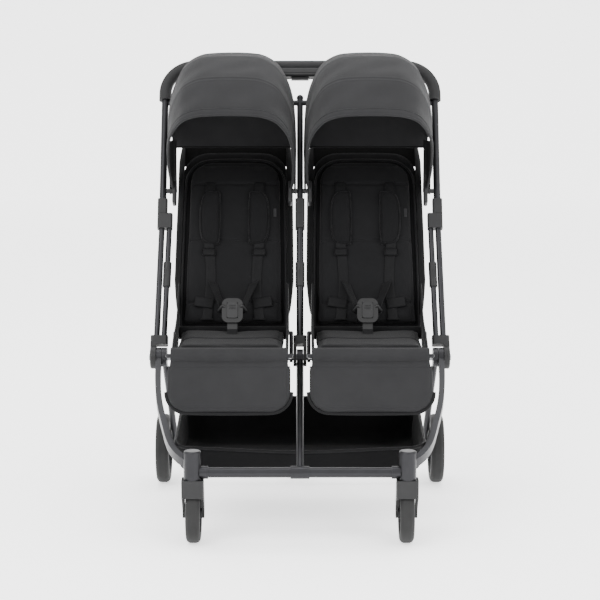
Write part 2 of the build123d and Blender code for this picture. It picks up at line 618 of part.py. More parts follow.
def seat_frame():
    """Side rails from the hub axle, joined by the knee rod and the recline rod."""
    frame = pin(SEAT_X - RAIL_X, SEAT_X + RAIL_X, KNEE_Y, KNEE_Z, RAIL_R)
    frame += pin(SEAT_X - RAIL_X, SEAT_X + RAIL_X, BIGHT_Y, BIGHT_Z, RAIL_R)
    for side in (-1, 1):
        x = SEAT_X + side * RAIL_X
        for y, z in ((KNEE_Y, KNEE_Z), (BIGHT_Y, BIGHT_Z)):
            frame += rod((x, HUB_Y, HUB_Z), (x, y, z), RAIL_R)
            frame += Pos(x, y, z) * Sphere(RAIL_R)
        frame += pin(x - 4, x + 4, HUB_Y, HUB_Z, AXLE_R + 5)
    return frame - pin(0, 2 * SEAT_X, HUB_Y, HUB_Z, AXLE_R + SLEEVE)


def shoulder_pads():
    """Two padded shoulder covers on the face of the seat back."""
    axis = (SEAT_X, BIGHT_Y, BIGHT_Z)
    plane = leaning_plane(axis, BACK_LEAN)
    pads = []
    for side in (-1, 1):
        middle = (PAD_LOW + PAD_HIGH) / 2
        height = BACK_T / 2 + 0.3 + PAD_T / 2
        pad = Pos(side * PAD_X, middle, height) * Box(PAD_W, PAD_HIGH - PAD_LOW, PAD_T)
        pad = fillet(pad.edges().filter_by(Axis.Z), 18)
        pads.append(plane * pad)
    return Compound(children=pads)


def buckle():
    """Harness buckle on its crotch strap, and the release key in its face."""
    foot = Vector(SEAT_X, 52, SEAT_TOP + 0.3)
    plane = leaning_plane(foot, 24)
    strap = Pos(0, 11, 0) * Box(25, 22, 4)
    body = Pos(0, 22 + BUCKLE_H / 2, 0) * Box(BUCKLE_W, BUCKLE_H, BUCKLE_T)
    body = fillet(body.edges().filter_by(Axis.Z), 16)
    key_place = Pos(0, 22 + BUCKLE_H / 2, BUCKLE_T / 2 - 4)
    body -= key_place * Box(KEY_W, KEY_H, 10)
    key = key_place * Pos(0, 0, KEY_TRAVEL + 0.6) * Box(KEY_W - 0.7, KEY_H - 0.7, 9 - KEY_TRAVEL)
    key = fillet(key.edges().filter_by(Axis.Z), 5)
    trim = Pos(SEAT_X, 0, SEAT_TOP + 0.3 + 100) * Box(200, 400, 200)
    return plane * (body + strap) & trim, plane * key


def seats():
    """Both seats with their frames and harness parts."""
    both_sides("seat_frame", seat_frame())
    both_sides("seat_base", seat_base())
    both_sides("backrest", backrest())
    both_sides("calf_rest", calf_rest())
    both_sides("shoulder_pads", shoulder_pads())
    body, key = buckle()
    both_sides("buckle", body)
    both_sides("buckle_key", key)


# ---------------------------------------------------------------- basket
def basket_section(inset):
    """Side profile of the basket, shrunk by a wall; the top stays open when shrunk."""
    top = 60 if inset else 0
    front, back = BASKET_FRONT + inset, BASKET_BACK - inset
    floor = BASKET_FLOOR + inset
    line = Polyline((front, BASKET_RIM_FRONT + top), (front, floor + 34), (front + 34, floor),
                    (back - 60, floor), (back - 14, floor + 30), (back, floor + 70),
                    (back, BASKET_RIM_BACK + top), (front, BASKET_RIM_FRONT + top))
    return Plane.YZ * make_face(line)


def basket():
    """Open fabric basket with hanger tabs up to the front legs and out to the rear legs."""
    bag = extrude(basket_section(0), BASKET_HALF, both=True)
    bag -= extrude(basket_section(BASKET_T), BASKET_HALF - BASKET_T, both=True)
    leg_slope = (HUB_Z - FRONT_BAR_Z - 22) / (HUB_Y - CASTER_Y)
    y = BASKET_FRONT + 12
    under_leg = HUB_Z - (HUB_Y - y) * leg_slope - LEG_D / 2 * math.hypot(1, leg_slope)
    top = under_leg - GAP
    edge = BASKET_HALF - BASKET_T
    ramp = Polyline((edge, BASKET_RIM_FRONT - 12), (BASKET_HALF, BASKET_RIM_FRONT - 12),
                    (BASKET_HALF + 16, top), (BASKET_HALF + 13, top), (edge, BASKET_RIM_FRONT - 8),
                    (edge, BASKET_RIM_FRONT - 12))
    hanger = extrude(Plane.XZ * make_face(ramp), -HANGER_W)
    bag += Pos(0, y, 0) * hanger
    bag += mirror(Pos(0, y, 0) * hanger, about=Plane.YZ)
    y = BASKET_BACK - 26
    t = (y - HUB_Y) / (REAR_AXLE_Y - HUB_Y)
    reach = REAR_EYE_X + (REAR_LEG_X_LOW - REAR_EYE_X) * t - REAR_LEG_R - GAP
    z = HUB_Z + (REAR_AXLE_Z - HUB_Z) * t
    tab = Pos((edge + reach) / 2, y, z - 3) * Box(reach - edge, HANGER_W, BASKET_T)
    rise = Pos(edge + BASKET_T / 2, y, z - 20) * Box(BASKET_T, HANGER_W, 40)
    bag += tab + rise
    return bag + mirror(tab + rise, about=Plane.YZ)


lower_frame()
front_frame()
wheels()
rear_frame()
push_frame()
hoods()
seats()
save("basket", basket())
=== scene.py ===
"""Looks of a side-by-side double stroller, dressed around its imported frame.

Every length is in metres, in the frame's own axes: +Z up, +Y to the back where
the pusher stands, and the origin at the middle of the footprint on the floor.
Each sub-assembly is a class whose dataclass fields hold its sizes, and each
finish is a frozen dataclass that builds one node material.
"""

import json
import logging
import math
from dataclasses import dataclass, field
from enum import Enum
from typing import Callable, Iterable, Sequence

import bpy
from mathutils import Matrix, Vector
from mathutils.geometry import interpolate_bezier


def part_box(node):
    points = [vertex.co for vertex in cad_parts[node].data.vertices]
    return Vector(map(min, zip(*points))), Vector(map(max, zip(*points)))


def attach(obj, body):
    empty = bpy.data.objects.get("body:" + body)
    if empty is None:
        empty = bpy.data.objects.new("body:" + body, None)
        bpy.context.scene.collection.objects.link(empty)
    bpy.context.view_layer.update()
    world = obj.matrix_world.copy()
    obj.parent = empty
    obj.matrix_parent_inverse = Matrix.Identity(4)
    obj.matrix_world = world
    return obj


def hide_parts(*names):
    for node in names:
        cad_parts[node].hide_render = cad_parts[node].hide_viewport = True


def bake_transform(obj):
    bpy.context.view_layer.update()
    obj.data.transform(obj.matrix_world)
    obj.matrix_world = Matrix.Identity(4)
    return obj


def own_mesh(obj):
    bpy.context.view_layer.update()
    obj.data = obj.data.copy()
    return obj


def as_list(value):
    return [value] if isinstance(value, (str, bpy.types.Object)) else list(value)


log = logging.getLogger("stroller")

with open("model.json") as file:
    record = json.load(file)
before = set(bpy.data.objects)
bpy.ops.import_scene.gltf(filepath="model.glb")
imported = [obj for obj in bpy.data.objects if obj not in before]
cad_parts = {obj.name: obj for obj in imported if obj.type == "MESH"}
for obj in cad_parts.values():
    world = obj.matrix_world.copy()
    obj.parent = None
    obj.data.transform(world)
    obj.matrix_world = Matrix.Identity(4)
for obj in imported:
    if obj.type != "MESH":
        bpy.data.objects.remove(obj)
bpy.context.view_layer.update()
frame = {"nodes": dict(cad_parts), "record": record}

Piece = bpy.types.Object
Socket = bpy.types.NodeSocket
Material = bpy.types.Material
Surface = Callable[[float, float], Vector]

MERGE = 0.00002  # distance under which doubled vertices are merged
ROUND_SHADING = 60  # degrees under which the edges of cloth and cord are shaded smooth


class Side(Enum):
    """The two seats. The value is the sign of X."""

    LEFT = 1
    RIGHT = -1

    @property
    def tag(self) -> str:
        """Suffix that node, body and joint names carry."""
        return "left" if self is Side.LEFT else "right"


# ------------------------------------------------------------------ places
def pivot(joint: str) -> Vector:
    """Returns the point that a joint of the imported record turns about.

    Args:
        joint: name of the joint in the record.

    Returns:
        The point in the row frame.
    """
    found = next(j for j in frame["record"]["behaviour"]["joints"] if j["name"] == joint)
    return Vector(found["pos_m"])


def lean(degrees: float) -> Vector:
    """Returns the unit vector that leans back from upright by an angle.

    Args:
        degrees: lean towards +Y; a negative lean is forwards.
    """
    a = math.radians(degrees)
    return Vector((0, math.sin(a), math.cos(a)))


def turned(degrees: float, axis: str) -> Matrix:
    """Returns a turn about a named axis."""
    return Matrix.Rotation(math.radians(degrees), 4, axis)


def leaning_frame(origin: Vector, degrees: float) -> Matrix:
    """Returns the placing of a panel that stands on an axis along X.

    Local x stays across, local y runs up the lean and local z points to the
    side that faces forwards and up.

    Args:
        origin: point on the axis.
        degrees: lean of the panel from upright.
    """
    up = lean(degrees)
    out = Vector((1, 0, 0)).cross(up)
    place = Matrix.Identity(4)
    for column, axis in enumerate((Vector((1, 0, 0)), up, out, origin)):
        for row in range(3):
            place[row][column] = axis[row]
    return place


def smooth_path(points: Sequence[Vector], steps: int = 8) -> list[Vector]:
    """Returns a smooth line through points, with evenly many samples between them.

    Args:
        points: points that the line passes through.
        steps: samples between one point and the next.
    """
    out: list[Vector] = []
    last = len(points) - 1
    for i in range(last):
        a, b = points[i], points[i + 1]
        before = points[max(i - 1, 0)]
        after = points[min(i + 2, last)]
        h1 = a + (b - before) / 6
        h2 = b - (after - a) / 6
        out += interpolate_bezier(a, h1, h2, b, steps + 1)[:-1]
    return out + [points[-1].copy()]


class Along:
    """A sampled line that is read by its length."""

    def __init__(self, points: Sequence[Vector]) -> None:
        self.points = list(points)
        self.marks = [0.0]
        for a, b in zip(self.points, self.points[1:]):
            self.marks.append(self.marks[-1] + (b - a).length)

    @property
    def length(self) -> float:
        """Whole length of the line."""
        return self.marks[-1]

    def at(self, share: float) -> Vector:
        """Returns the point at a share of the length, from 0 to 1."""
        goal = min(max(share, 0.0), 1.0) * self.length
        for i in range(1, len(self.marks)):
            if self.marks[i] >= goal:
                span = self.marks[i] - self.marks[i - 1] or 1.0
                return self.points[i - 1].lerp(self.points[i], (goal - self.marks[i - 1]) / span)
        return self.points[-1].copy()


def arc(share: float) -> float:
    """Returns a rounded hump: 0 at the shares 0 and 1, and 1 halfway."""
    return math.sin(math.pi * share)


def bump(distance: float, width: float) -> float:
    """Returns a rounded ridge of height 1 at distance 0 that dies away over a width."""
    return math.exp(-((distance / width) ** 2))


# ------------------------------------------------------------------ mesh work
def activate(obj: Piece) -> None:
    """Leaves one object selected and active, in object mode."""
    if bpy.context.object and bpy.context.object.mode != "OBJECT":
        bpy.ops.object.mode_set(mode="OBJECT")
    bpy.ops.object.select_all(action="DESELECT")
    obj.select_set(True)
    bpy.context.view_layer.objects.active = obj


def start_clear() -> None:
    """Deselects everything, so that the next primitive is alone."""
    bpy.ops.object.select_all(action="DESELECT")


def edit(obj: Piece, chosen: Callable[[Vector], bool] | None = None) -> None:
    """Enters edit mode with chosen vertices selected.

    Args:
        obj: mesh object to edit.
        chosen: test on a vertex position; everything is selected when left out.
    """
    activate(obj)
    bpy.ops.object.mode_set(mode="EDIT")
    bpy.ops.mesh.select_mode(type="VERT")
    bpy.ops.mesh.select_all(action="DESELECT")
    bpy.ops.object.mode_set(mode="OBJECT")
    for vertex in obj.data.vertices:
        vertex.select = chosen is None or chosen(vertex.co)
    bpy.ops.object.mode_set(mode="EDIT")


def leave() -> None:
    """Goes back to object mode."""
    bpy.ops.object.mode_set(mode="OBJECT")


def applied(obj: Piece, kind: str, **settings: object) -> Piece:
    """Adds a modifier, sets it and applies it at once.

    Args:
        obj: object that gets the modifier.
        kind: type of the modifier.
        settings: its values by name.

    Returns:
        The same object.
    """
    activate(obj)
    modifier = obj.modifiers.new(kind.title(), kind)
    for name, value in settings.items():
        setattr(modifier, name, value)
    bpy.ops.object.modifier_apply(modifier=modifier.name)
    return obj


def bevelled(obj: Piece, width: float, segments: int, degrees: float = 50) -> Piece:
    """Rounds every edge that is sharper than an angle."""
    return applied(obj, "BEVEL", width=width, segments=segments, limit_method="ANGLE",
                   angle_limit=math.radians(degrees))


def clean(obj: Piece, inside_out: bool = True) -> Piece:
    """Merges doubled vertices and, on a closed piece, turns its faces outwards."""
    edit(obj)
    bpy.ops.mesh.remove_doubles(threshold=MERGE)
    if inside_out:
        bpy.ops.mesh.normals_make_consistent(inside=False)
    leave()
    return obj


def smooth(obj: Piece, degrees: float = 40) -> Piece:
    """Shades a piece smooth, with edges sharper than an angle left crisp."""
    activate(obj)
    bpy.ops.object.shade_smooth_by_angle(angle=math.radians(degrees))
    return obj


def move(obj: Piece, place: Matrix) -> Piece:
    """Puts a piece's place into its mesh, with the object left at the origin."""
    obj.data.transform(place)
    obj.data.update()
    return obj


def away_from(obj: Piece, centre: Vector) -> Piece:
    """Turns an open sheet's faces so that they look away from a point."""
    facing = sum((p.center - centre).dot(p.normal) * p.area for p in obj.data.polygons)
    if facing < 0:
        edit(obj)
        bpy.ops.mesh.flip_normals()
        leave()
    return obj


def surface(name: str, shape: Surface, across: int, along: int, centre: Vector) -> Piece:
    """Makes one continuous curved sheet from a grid.

    Args:
        name: name of the piece.
        shape: gives the point at two shares from 0 to 1, across and along.
        across: rows of faces across.
        along: rows of faces along.
        centre: point on the hollow side, which the faces look away from.

    Returns:
        The sheet.
    """
    start_clear()
    bpy.ops.mesh.primitive_grid_add(x_subdivisions=across, y_subdivisions=along, size=1)
    obj = bpy.context.object
    obj.name = name
    for vertex in obj.data.vertices:
        vertex.co = shape(vertex.co.x + 0.5, vertex.co.y + 0.5)
    obj.data.update()
    return away_from(obj, centre)


def thicken(obj: Piece, thickness: float, offset: float = -1,
            lining: int = 0) -> Piece:
    """Gives a sheet its thickness; the inner side may take the next material.

    Args:
        obj: open sheet.
        thickness: its thickness.
        offset: -1 grows inwards, 0 both ways, 1 outwards.
        lining: material slots to step on for the inner side.
    """
    return applied(obj, "SOLIDIFY", thickness=thickness, offset=offset,
                   use_even_offset=False, material_offset=lining)


def made_up(obj: Piece, thickness: float, offset: float = -1, sharp: float = ROUND_SHADING) -> Piece:
    """Thickens a sheet, cleans its mesh and shades it."""
    thicken(obj, thickness, offset)
    return smooth(clean(obj), sharp)


def tube(name: str, points: Sequence[Vector], radius: float, closed: bool = False,
         sides: int = 3) -> Piece:
    """Makes a round cord along points: piping, a hem or a binding.

    Args:
        name: name of the piece.
        points: points on its centre line.
        radius: radius of the cord.
        closed: whether it comes back to its start.
        sides: resolution of the round section.
    """
    start_clear()
    bpy.ops.curve.primitive_bezier_curve_add()
    obj = bpy.context.object
    obj.name = name
    curve = obj.data
    curve.dimensions = "3D"
    spline = curve.splines[0]
    spline.bezier_points.add(len(points) - 2)
    for knot, point in zip(spline.bezier_points, points):
        knot.co = point
        knot.handle_left_type = knot.handle_right_type = "AUTO"
    spline.use_cyclic_u = closed
    curve.resolution_u = 4
    curve.bevel_depth = radius
    curve.bevel_resolution = sides
    curve.use_fill_caps = not closed
    bpy.ops.object.convert(target="MESH")
    obj = bpy.context.object
    clean(obj)
    return smooth(obj, ROUND_SHADING)


def ribbon(name: str, middle: Sequence[Vector], widths: Sequence[Vector],
           thickness: float) -> Piece:
    """Makes flat webbing along a line.

    Args:
        name: name of the piece.
        middle: points on its middle line.
        widths: half-width vector at each point.
        thickness: thickness of the webbing.

    Returns:
        The closed strip with softened edges.
    """
    count = len(middle) - 1

    def shape(u: float, v: float) -> Vector:
        at = v * count
        i = min(int(at), count - 1)
        f = at - i
        return middle[i].lerp(middle[i + 1], f) + widths[i].lerp(widths[i + 1], f) * (2 * u - 1)

    obj = surface(name, shape, 4, count * 2, Vector((0, 9, 0)))
    thicken(obj, thickness, offset=0)
    bevelled(obj, thickness * 0.35, 2)
    clean(obj)
    return smooth(obj, 50)


def rounded_block(name: str, size: Vector, place: Matrix, edge: float,
                  corner: float = 0) -> Piece:
    """Makes a moulded block with rounded corners and softened edges.

    Args:
        name: name of the piece.
        size: its three sizes.
        place: placing of its middle.
        edge: radius along every edge.
        corner: larger radius of the four upright corners.
    """
    start_clear()
    bpy.ops.mesh.primitive_cube_add(size=1, scale=size)
    obj = bpy.context.object
    obj.name = name
    obj.data.transform(Matrix.Diagonal((*obj.scale, 1)))
    obj.scale = (1, 1, 1)
    if corner:
        edit(obj)
        bpy.ops.mesh.select_all(action="DESELECT")
        leave()
        for e in obj.data.edges:
            a, b = (obj.data.vertices[i].co for i in e.vertices)
            e.select = abs(a.z - b.z) > 1e-6
        bpy.ops.object.mode_set(mode="EDIT")
        bpy.ops.mesh.select_mode(type="EDGE")
        bpy.ops.mesh.bevel(offset=corner, segments=6, affect="EDGES")
        leave()
    bevelled(obj, edge, 3)
    move(obj, place)
    clean(obj)
    return smooth(obj, 50)


def copy_across(obj: Piece, step: float, name: str) -> Piece:
    """Copies a finished piece sideways, with a mesh of its own."""
    twin = obj.copy()
    twin.data = obj.data.copy()
    twin.name = name
    bpy.context.collection.objects.link(twin)
    twin.data.transform(Matrix.Translation((step, 0, 0)))
    return twin


# ------------------------------------------------------------------ padding
@dataclass(frozen=True)
class Outline:
    """Outline of a sewn panel, straight at its foot and rounded at its far end."""

    half_low: float
    half_top: float
    start: float
    end: float
    corner: float
    foot_corner: float = 0.006

    def points(self, inset: float = 0, steps: int = 7) -> list[Vector]:
        """Returns points round the outline, anticlockwise from its lower left.

        Args:
            inset: distance to draw the outline in.
            steps: points on each round corner.
        """
        low, top = self.half_low - inset, self.half_top - inset
        y0, y1 = self.start + inset, self.end - inset
        out: list[Vector] = []
        corners = ((low, y0, self.foot_corner, -90), (top, y1, self.corner, 0),
                   (-top, y1, self.corner, 90), (-low, y0, self.foot_corner, 180))
        for x, y, full, begin in corners:
            r = max(full - inset, 0.002)
            middle = Vector((x - math.copysign(r, x), y + (r if y == y0 else -r), 0))
            for k in range(steps):
                a = math.radians(begin + 90 * k / (steps - 1))
                out.append(middle + Vector((math.cos(a), math.sin(a), 0)) * r)
        return out


@dataclass(frozen=True)
class Stuffing:
    """How a padded piece is blown up by the cloth simulation."""

    voxel: float = 0.006
    pressure: float = 4.0
    cap: float = 0.007
    frames: int = 20


def slab(name: str, outline: Sequence[Vector], low: float, high: float,
         round_edge: float) -> Piece:
    """Cuts a panel to an outline, gives it its thickness and rounds its rim.

    Args:
        name: name of the piece.
        outline: points round the panel.
        low: local height of its back.
        high: local height of its face.
        round_edge: radius round the rim.
    """
    start_clear()
    bpy.ops.mesh.primitive_circle_add(vertices=len(outline), radius=1, fill_type="NGON")
    obj = bpy.context.object
    obj.name = name
    for vertex, point in zip(obj.data.vertices, outline):
        vertex.co = (point.x, point.y, low)
    edit(obj)
    bpy.ops.mesh.extrude_region_move(TRANSFORM_OT_translate={"value": (0, 0, high - low)})
    leave()
    clean(obj)
    return bevelled(obj, round_edge, 4, 60)


def stuffed(obj: Piece, stuffing: Stuffing) -> Piece:
    """Turns a cut slab into a filled pad by simulating its cover.

    Args:
        obj: closed slab at its own origin.
        stuffing: settings of the simulation.

    Returns:
        The same object, crowned and subdivided.
    """
    activate(obj)
    obj.data.remesh_voxel_size = stuffing.voxel
    bpy.ops.object.voxel_remesh()
    rest = [v.co.copy() for v in obj.data.vertices]
    cloth = obj.modifiers.new("Cloth", "CLOTH")
    cloth.settings.use_pressure = True
    cloth.settings.uniform_pressure_force = stuffing.pressure
    cloth.settings.effector_weights.gravity = 0
    cloth.point_cache.frame_start = 1
    cloth.point_cache.frame_end = stuffing.frames
    for moment in range(1, stuffing.frames + 1):
        bpy.context.scene.frame_set(moment)
    bpy.ops.object.modifier_apply(modifier="Cloth")
    for vertex, start in zip(obj.data.vertices, rest):
        step = vertex.co - start
        if step.length > stuffing.cap:
            vertex.co = start + step * (stuffing.cap / step.length)
    bpy.context.scene.frame_set(1)
    applied(obj, "SMOOTH", factor=0.5, iterations=4)
    applied(obj, "SUBSURF", levels=1, render_levels=1)
    return obj


def press(obj: Piece, depth: Callable[[Vector], float]) -> Piece:
    """Moves a pad's skin in along its normals: seams, channels and dimples.

    Args:
        obj: pad to press.
        depth: depth at a point, in metres.
    """
    normals = [v.normal.copy() for v in obj.data.vertices]
    for vertex, normal in zip(obj.data.vertices, normals):
        vertex.co -= normal * depth(vertex.co)
    obj.data.update()
    return obj


# ------------------------------------------------------------------ finishes
def linear(code: str) -> tuple[float, float, float, float]:
    """Returns the linear colour of a hexadecimal screen colour.

    Args:
        code: six digits, such as "4c4c4d".
    """
    out = []
    for i in range(0, 6, 2):
        c = int(code[i:i + 2], 16) / 255
        out.append(c / 12.92 if c <= 0.04045 else ((c + 0.055) / 1.055) ** 2.4)
    return (*out, 1.0)


def preset(node: bpy.types.Node, **values: object) -> None:
    """Sets inputs of a node; an underscore in a name stands for a space."""
    for name, value in values.items():
        node.inputs[name.replace("_", " ")].default_value = value


class Graph:
    """Short hand for building one material's nodes."""

    def __init__(self, name: str) -> None:
        self.material = bpy.data.materials.new(name)
        self.material.use_nodes = True
        self.nodes = self.material.node_tree.nodes
        self.links = self.material.node_tree.links
        self.shader = self.nodes["Principled BSDF"]
        self.place = self.nodes.new("ShaderNodeTexCoord").outputs["Object"]

    def join(self, source: Socket, goal: Socket) -> None:
        """Links two sockets."""
        self.links.new(source, goal)

    def add(self, kind: str, **values: float) -> bpy.types.Node:
        """Adds a node and sets its inputs, named as for preset."""
        node = self.nodes.new(kind)
        preset(node, **values)
        return node

    def noise(self, scale: float, detail: float = 3, rough: float = 0.5) -> Socket:
        """Returns the value of a noise texture on the piece's own place."""
        node = self.add("ShaderNodeTexNoise", Scale=scale, Detail=detail, Roughness=rough)
        self.join(self.place, node.inputs["Vector"])
        return node.outputs["Fac"]

    def bands(self, scale: float, direction: str, distortion: float = 0.0) -> Socket:
        """Returns the value of a wave texture in bands along a direction."""
        node = self.add("ShaderNodeTexWave", Scale=scale, Distortion=distortion)
        node.wave_type = "BANDS"
        node.bands_direction = direction
        self.join(self.place, node.inputs["Vector"])
        return node.outputs["Fac"]

    def ramp(self, value: Socket,
             stops: Iterable[tuple[float, Sequence[float]]]) -> Socket:
        """Returns a colour read off a ramp."""
        node = self.nodes.new("ShaderNodeValToRGB")
        marks = list(stops)
        while len(node.color_ramp.elements) < len(marks):
            node.color_ramp.elements.new(0.5)
        for element, (at, colour) in zip(node.color_ramp.elements, marks):
            element.position = at
            element.color = colour
        self.join(value, node.inputs["Fac"])
        return node.outputs["Color"]

    def math(self, kind: str, a: Socket, b: object) -> Socket:
        """Returns a sum, product or the like of a socket and a socket or number."""
        node = self.nodes.new("ShaderNodeMath")
        node.operation = kind
        self.join(a, node.inputs[0])
        if isinstance(b, (int, float)):
            node.inputs[1].default_value = b
        else:
            self.join(b, node.inputs[1])
        return node.outputs[0]

    def range(self, value: Socket, low: float, high: float) -> Socket:
        """Returns a value from 0 to 1 stretched between two numbers."""
        node = self.add("ShaderNodeMapRange", To_Min=low, To_Max=high)
        self.join(value, node.inputs["Value"])
        return node.outputs["Result"]

    def tint(self, value: Socket, code: str, *stops: tuple[float, float]) -> None:
        """Colours the shader: each stop is a place on the value and a factor of the colour."""
        colour = self.ramp(value, [(at, shade(code, factor)) for at, factor in stops])
        self.join(colour, self.shader.inputs["Base Color"])

    def rough(self, value: Socket, low: float, high: float) -> None:
        """Spreads the shader's roughness between two numbers by a value."""
        self.join(self.range(value, low, high), self.shader.inputs["Roughness"])

    def relief(self, height: Socket, strength: float, depth: float) -> None:
        """Bumps the shader by a height."""
        node = self.add("ShaderNodeBump", Strength=strength, Distance=depth)
        self.join(height, node.inputs["Height"])
        self.join(node.outputs["Normal"], self.shader.inputs["Normal"])


def shade(code: str, factor: float) -> tuple[float, float, float, float]:
    """Returns a screen colour made lighter or darker by a factor."""
    r, g, b, _ = linear(code)
    return (min(r * factor, 1), min(g * factor, 1), min(b * factor, 1), 1)


WAVE_PERIOD = 0.314  # metres between bands at a wave texture's scale of 1
BACK_LEAN = 33.6  # degrees that the seat backs lean from upright
BUCKLE_LEAN = 24  # degrees that the buckles lean from upright
TUBE_LEAN = -27.7  # turn about X that follows the push frame's uprights


@dataclass(frozen=True)
class Cloth:
    """A woven cloth: crossed threads, fibre fuzz and slightly uneven dye."""

    name: str
    colour: str
    thread: float = 0.0012
    uneven: float = 0.18
    relief: float = 0.0004
    sheen: float = 0.05
    roughness: float = 0.85

    def build(self) -> Material:
        """Returns the cloth's material."""
        g = Graph(self.name)
        scale = WAVE_PERIOD / self.thread
        warp = g.bands(scale, "X", 0.6)
        weft = g.math("MAXIMUM", g.bands(scale, "Z", 0.6), g.bands(scale, "Y", 0.6))
        weave = g.math("MULTIPLY", warp, weft)
        dye = g.noise(14, 4, 0.6)
        fuzz = g.noise(900, 2, 0.6)
        tone = g.math("ADD", g.math("MULTIPLY", dye, 0.55),
                      g.math("MULTIPLY", g.math("ADD", weave, fuzz), 0.22))
        g.tint(tone, self.colour, (0.25, 1 - self.uneven), (0.75, 1 + self.uneven))
        g.rough(fuzz, self.roughness - 0.08, self.roughness + 0.08)
        preset(g.shader, Sheen_Weight=self.sheen, Sheen_Roughness=0.45, Specular_IOR_Level=0.08)
        g.relief(g.math("ADD", weave, g.math("MULTIPLY", fuzz, 0.7)), 0.6, self.relief)
        return g.material


@dataclass(frozen=True)
class Webbing:
    """Ribbed harness tape."""

    name: str
    colour: str
    rib: float = 0.0018

    def build(self) -> Material:
        """Returns the tape's material."""
        g = Graph(self.name)
        ribs = g.math("ADD", g.bands(WAVE_PERIOD / self.rib, "Z", 0.3),
                      g.bands(WAVE_PERIOD / self.rib, "DIAGONAL", 0.3))
        wear = g.noise(60, 3)
        g.tint(wear, self.colour, (0.3, 0.8), (0.8, 1.35))
        g.rough(wear, 0.5, 0.75)
        preset(g.shader, Sheen_Weight=0.02, Specular_IOR_Level=0.1)
        g.relief(ribs, 0.5, 0.0004)
        return g.material


@dataclass(frozen=True)
class Moulding:
    """Moulded plastic or rubber: fine spark grain with handled, smoother spots."""

    name: str
    colour: str
    roughness: float = 0.5
    grain: float = 1400
    depth: float = 0.00012
    coat: float = 0.0

    def build(self) -> Material:
        """Returns the moulding's material."""
        g = Graph(self.name)
        grain = g.noise(self.grain, 2)
        wear = g.noise(22, 4, 0.6)
        g.tint(wear, self.colour, (0.3, 0.85), (0.75, 1.3))
        g.rough(wear, self.roughness + 0.08, self.roughness - 0.08)
        preset(g.shader, Coat_Weight=self.coat, Specular_IOR_Level=0.3)
        g.relief(grain, 0.5, self.depth)
        return g.material


@dataclass(frozen=True)
class Metal:
    """Drawn tube: satin anodised or bright, with a faint drawing grain."""

    name: str
    colour: str
    roughness: float = 0.38
    metallic: float = 0.85

    def build(self) -> Material:
        """Returns the metal's material."""
        g = Graph(self.name)
        cloud = g.noise(35, 5, 0.6)
        fine = g.noise(2200, 2)
        g.tint(cloud, self.colour, (0.3, 0.88), (0.75, 1.12))
        mixed = g.math("ADD", g.math("MULTIPLY", cloud, 0.6), g.math("MULTIPLY", fine, 0.4))
        g.rough(mixed, self.roughness - 0.07, self.roughness + 0.07)
        preset(g.shader, Metallic=self.metallic)
        g.relief(fine, 0.25, 0.00005)
        return g.material


@dataclass(frozen=True)
class Floor:
    """Plain pale floor with a barely uneven surface, lit a little from below."""

    name: str
    colour: str
    glow: float = 1.2

    def build(self) -> Material:
        """Returns the floor's material."""
        g = Graph(self.name)
        cloud = g.noise(1.5, 3)
        g.tint(cloud, self.colour, (0.2, 0.985), (0.8, 1.0))
        g.rough(cloud, 0.75, 0.85)
        preset(g.shader, Emission_Color=(1, 1, 1, 1), Emission_Strength=self.glow)
        return g.material


class Finishes:
    """Every material of the object, built once."""

    def __init__(self) -> None:
        self.hood = Cloth("hood cloth", "222223", thread=0.0013).build()
        self.lining = Cloth("hood lining", "040404", uneven=0.1).build()
        self.seat = Cloth("seat cloth", "131314", thread=0.0015, uneven=0.15).build()
        self.shell = Cloth("seat shell cloth", "0b0b0c", uneven=0.12).build()
        self.calf = Cloth("calf panel cloth", "232324", thread=0.0013).build()
        self.basket = Cloth("basket cloth", "0c0c0d", thread=0.0022, relief=0.0007).build()
        self.pad = Cloth("shoulder pad cloth", "101011", uneven=0.12).build()
        self.binding = Webbing("edge binding", "0f0f10", rib=0.0012).build()
        self.webbing = Webbing("harness webbing", "0e0e0f").build()
        self.thread = Webbing("seam thread", "242425", rib=0.001).build()
        self.black = Moulding("textured black moulding", "121213", roughness=0.52).build()
        self.buckle = Moulding("buckle moulding", "0a0a0b", roughness=0.45, coat=0.03).build()
        self.key = Moulding("buckle key moulding", "141415", roughness=0.4).build()
        self.grip = Moulding("grip foam", "121213", roughness=0.72, grain=700, depth=0.0004).build()
        self.tyre = Moulding("tyre rubber", "131313", roughness=0.68, grain=500, depth=0.0003).build()
        self.rim = Moulding("wheel moulding", "19191a", roughness=0.45).build()
        self.tube = Metal("anodised tube", "29292b").build()
        self.steel = Metal("zinc plated steel", "8d8f92", roughness=0.3, metallic=1).build()
        self.floor = Floor("studio floor", "f4f4f4").build()

    def of_slot(self, slot: str) -> Material:
        """Returns the material of a record slot, for the frame's own nodes."""
        return {
            "frame_tube": self.tube, "moulded_black": self.black, "wheel_rim": self.rim,
            "tyre": self.tyre, "grip": self.grip, "steel": self.steel,
            "hood_fabric": self.hood, "seat_fabric": self.seat, "calf_fabric": self.calf,
            "basket_fabric": self.basket, "harness": self.pad, "buckle_plastic": self.buckle,
        }[slot]


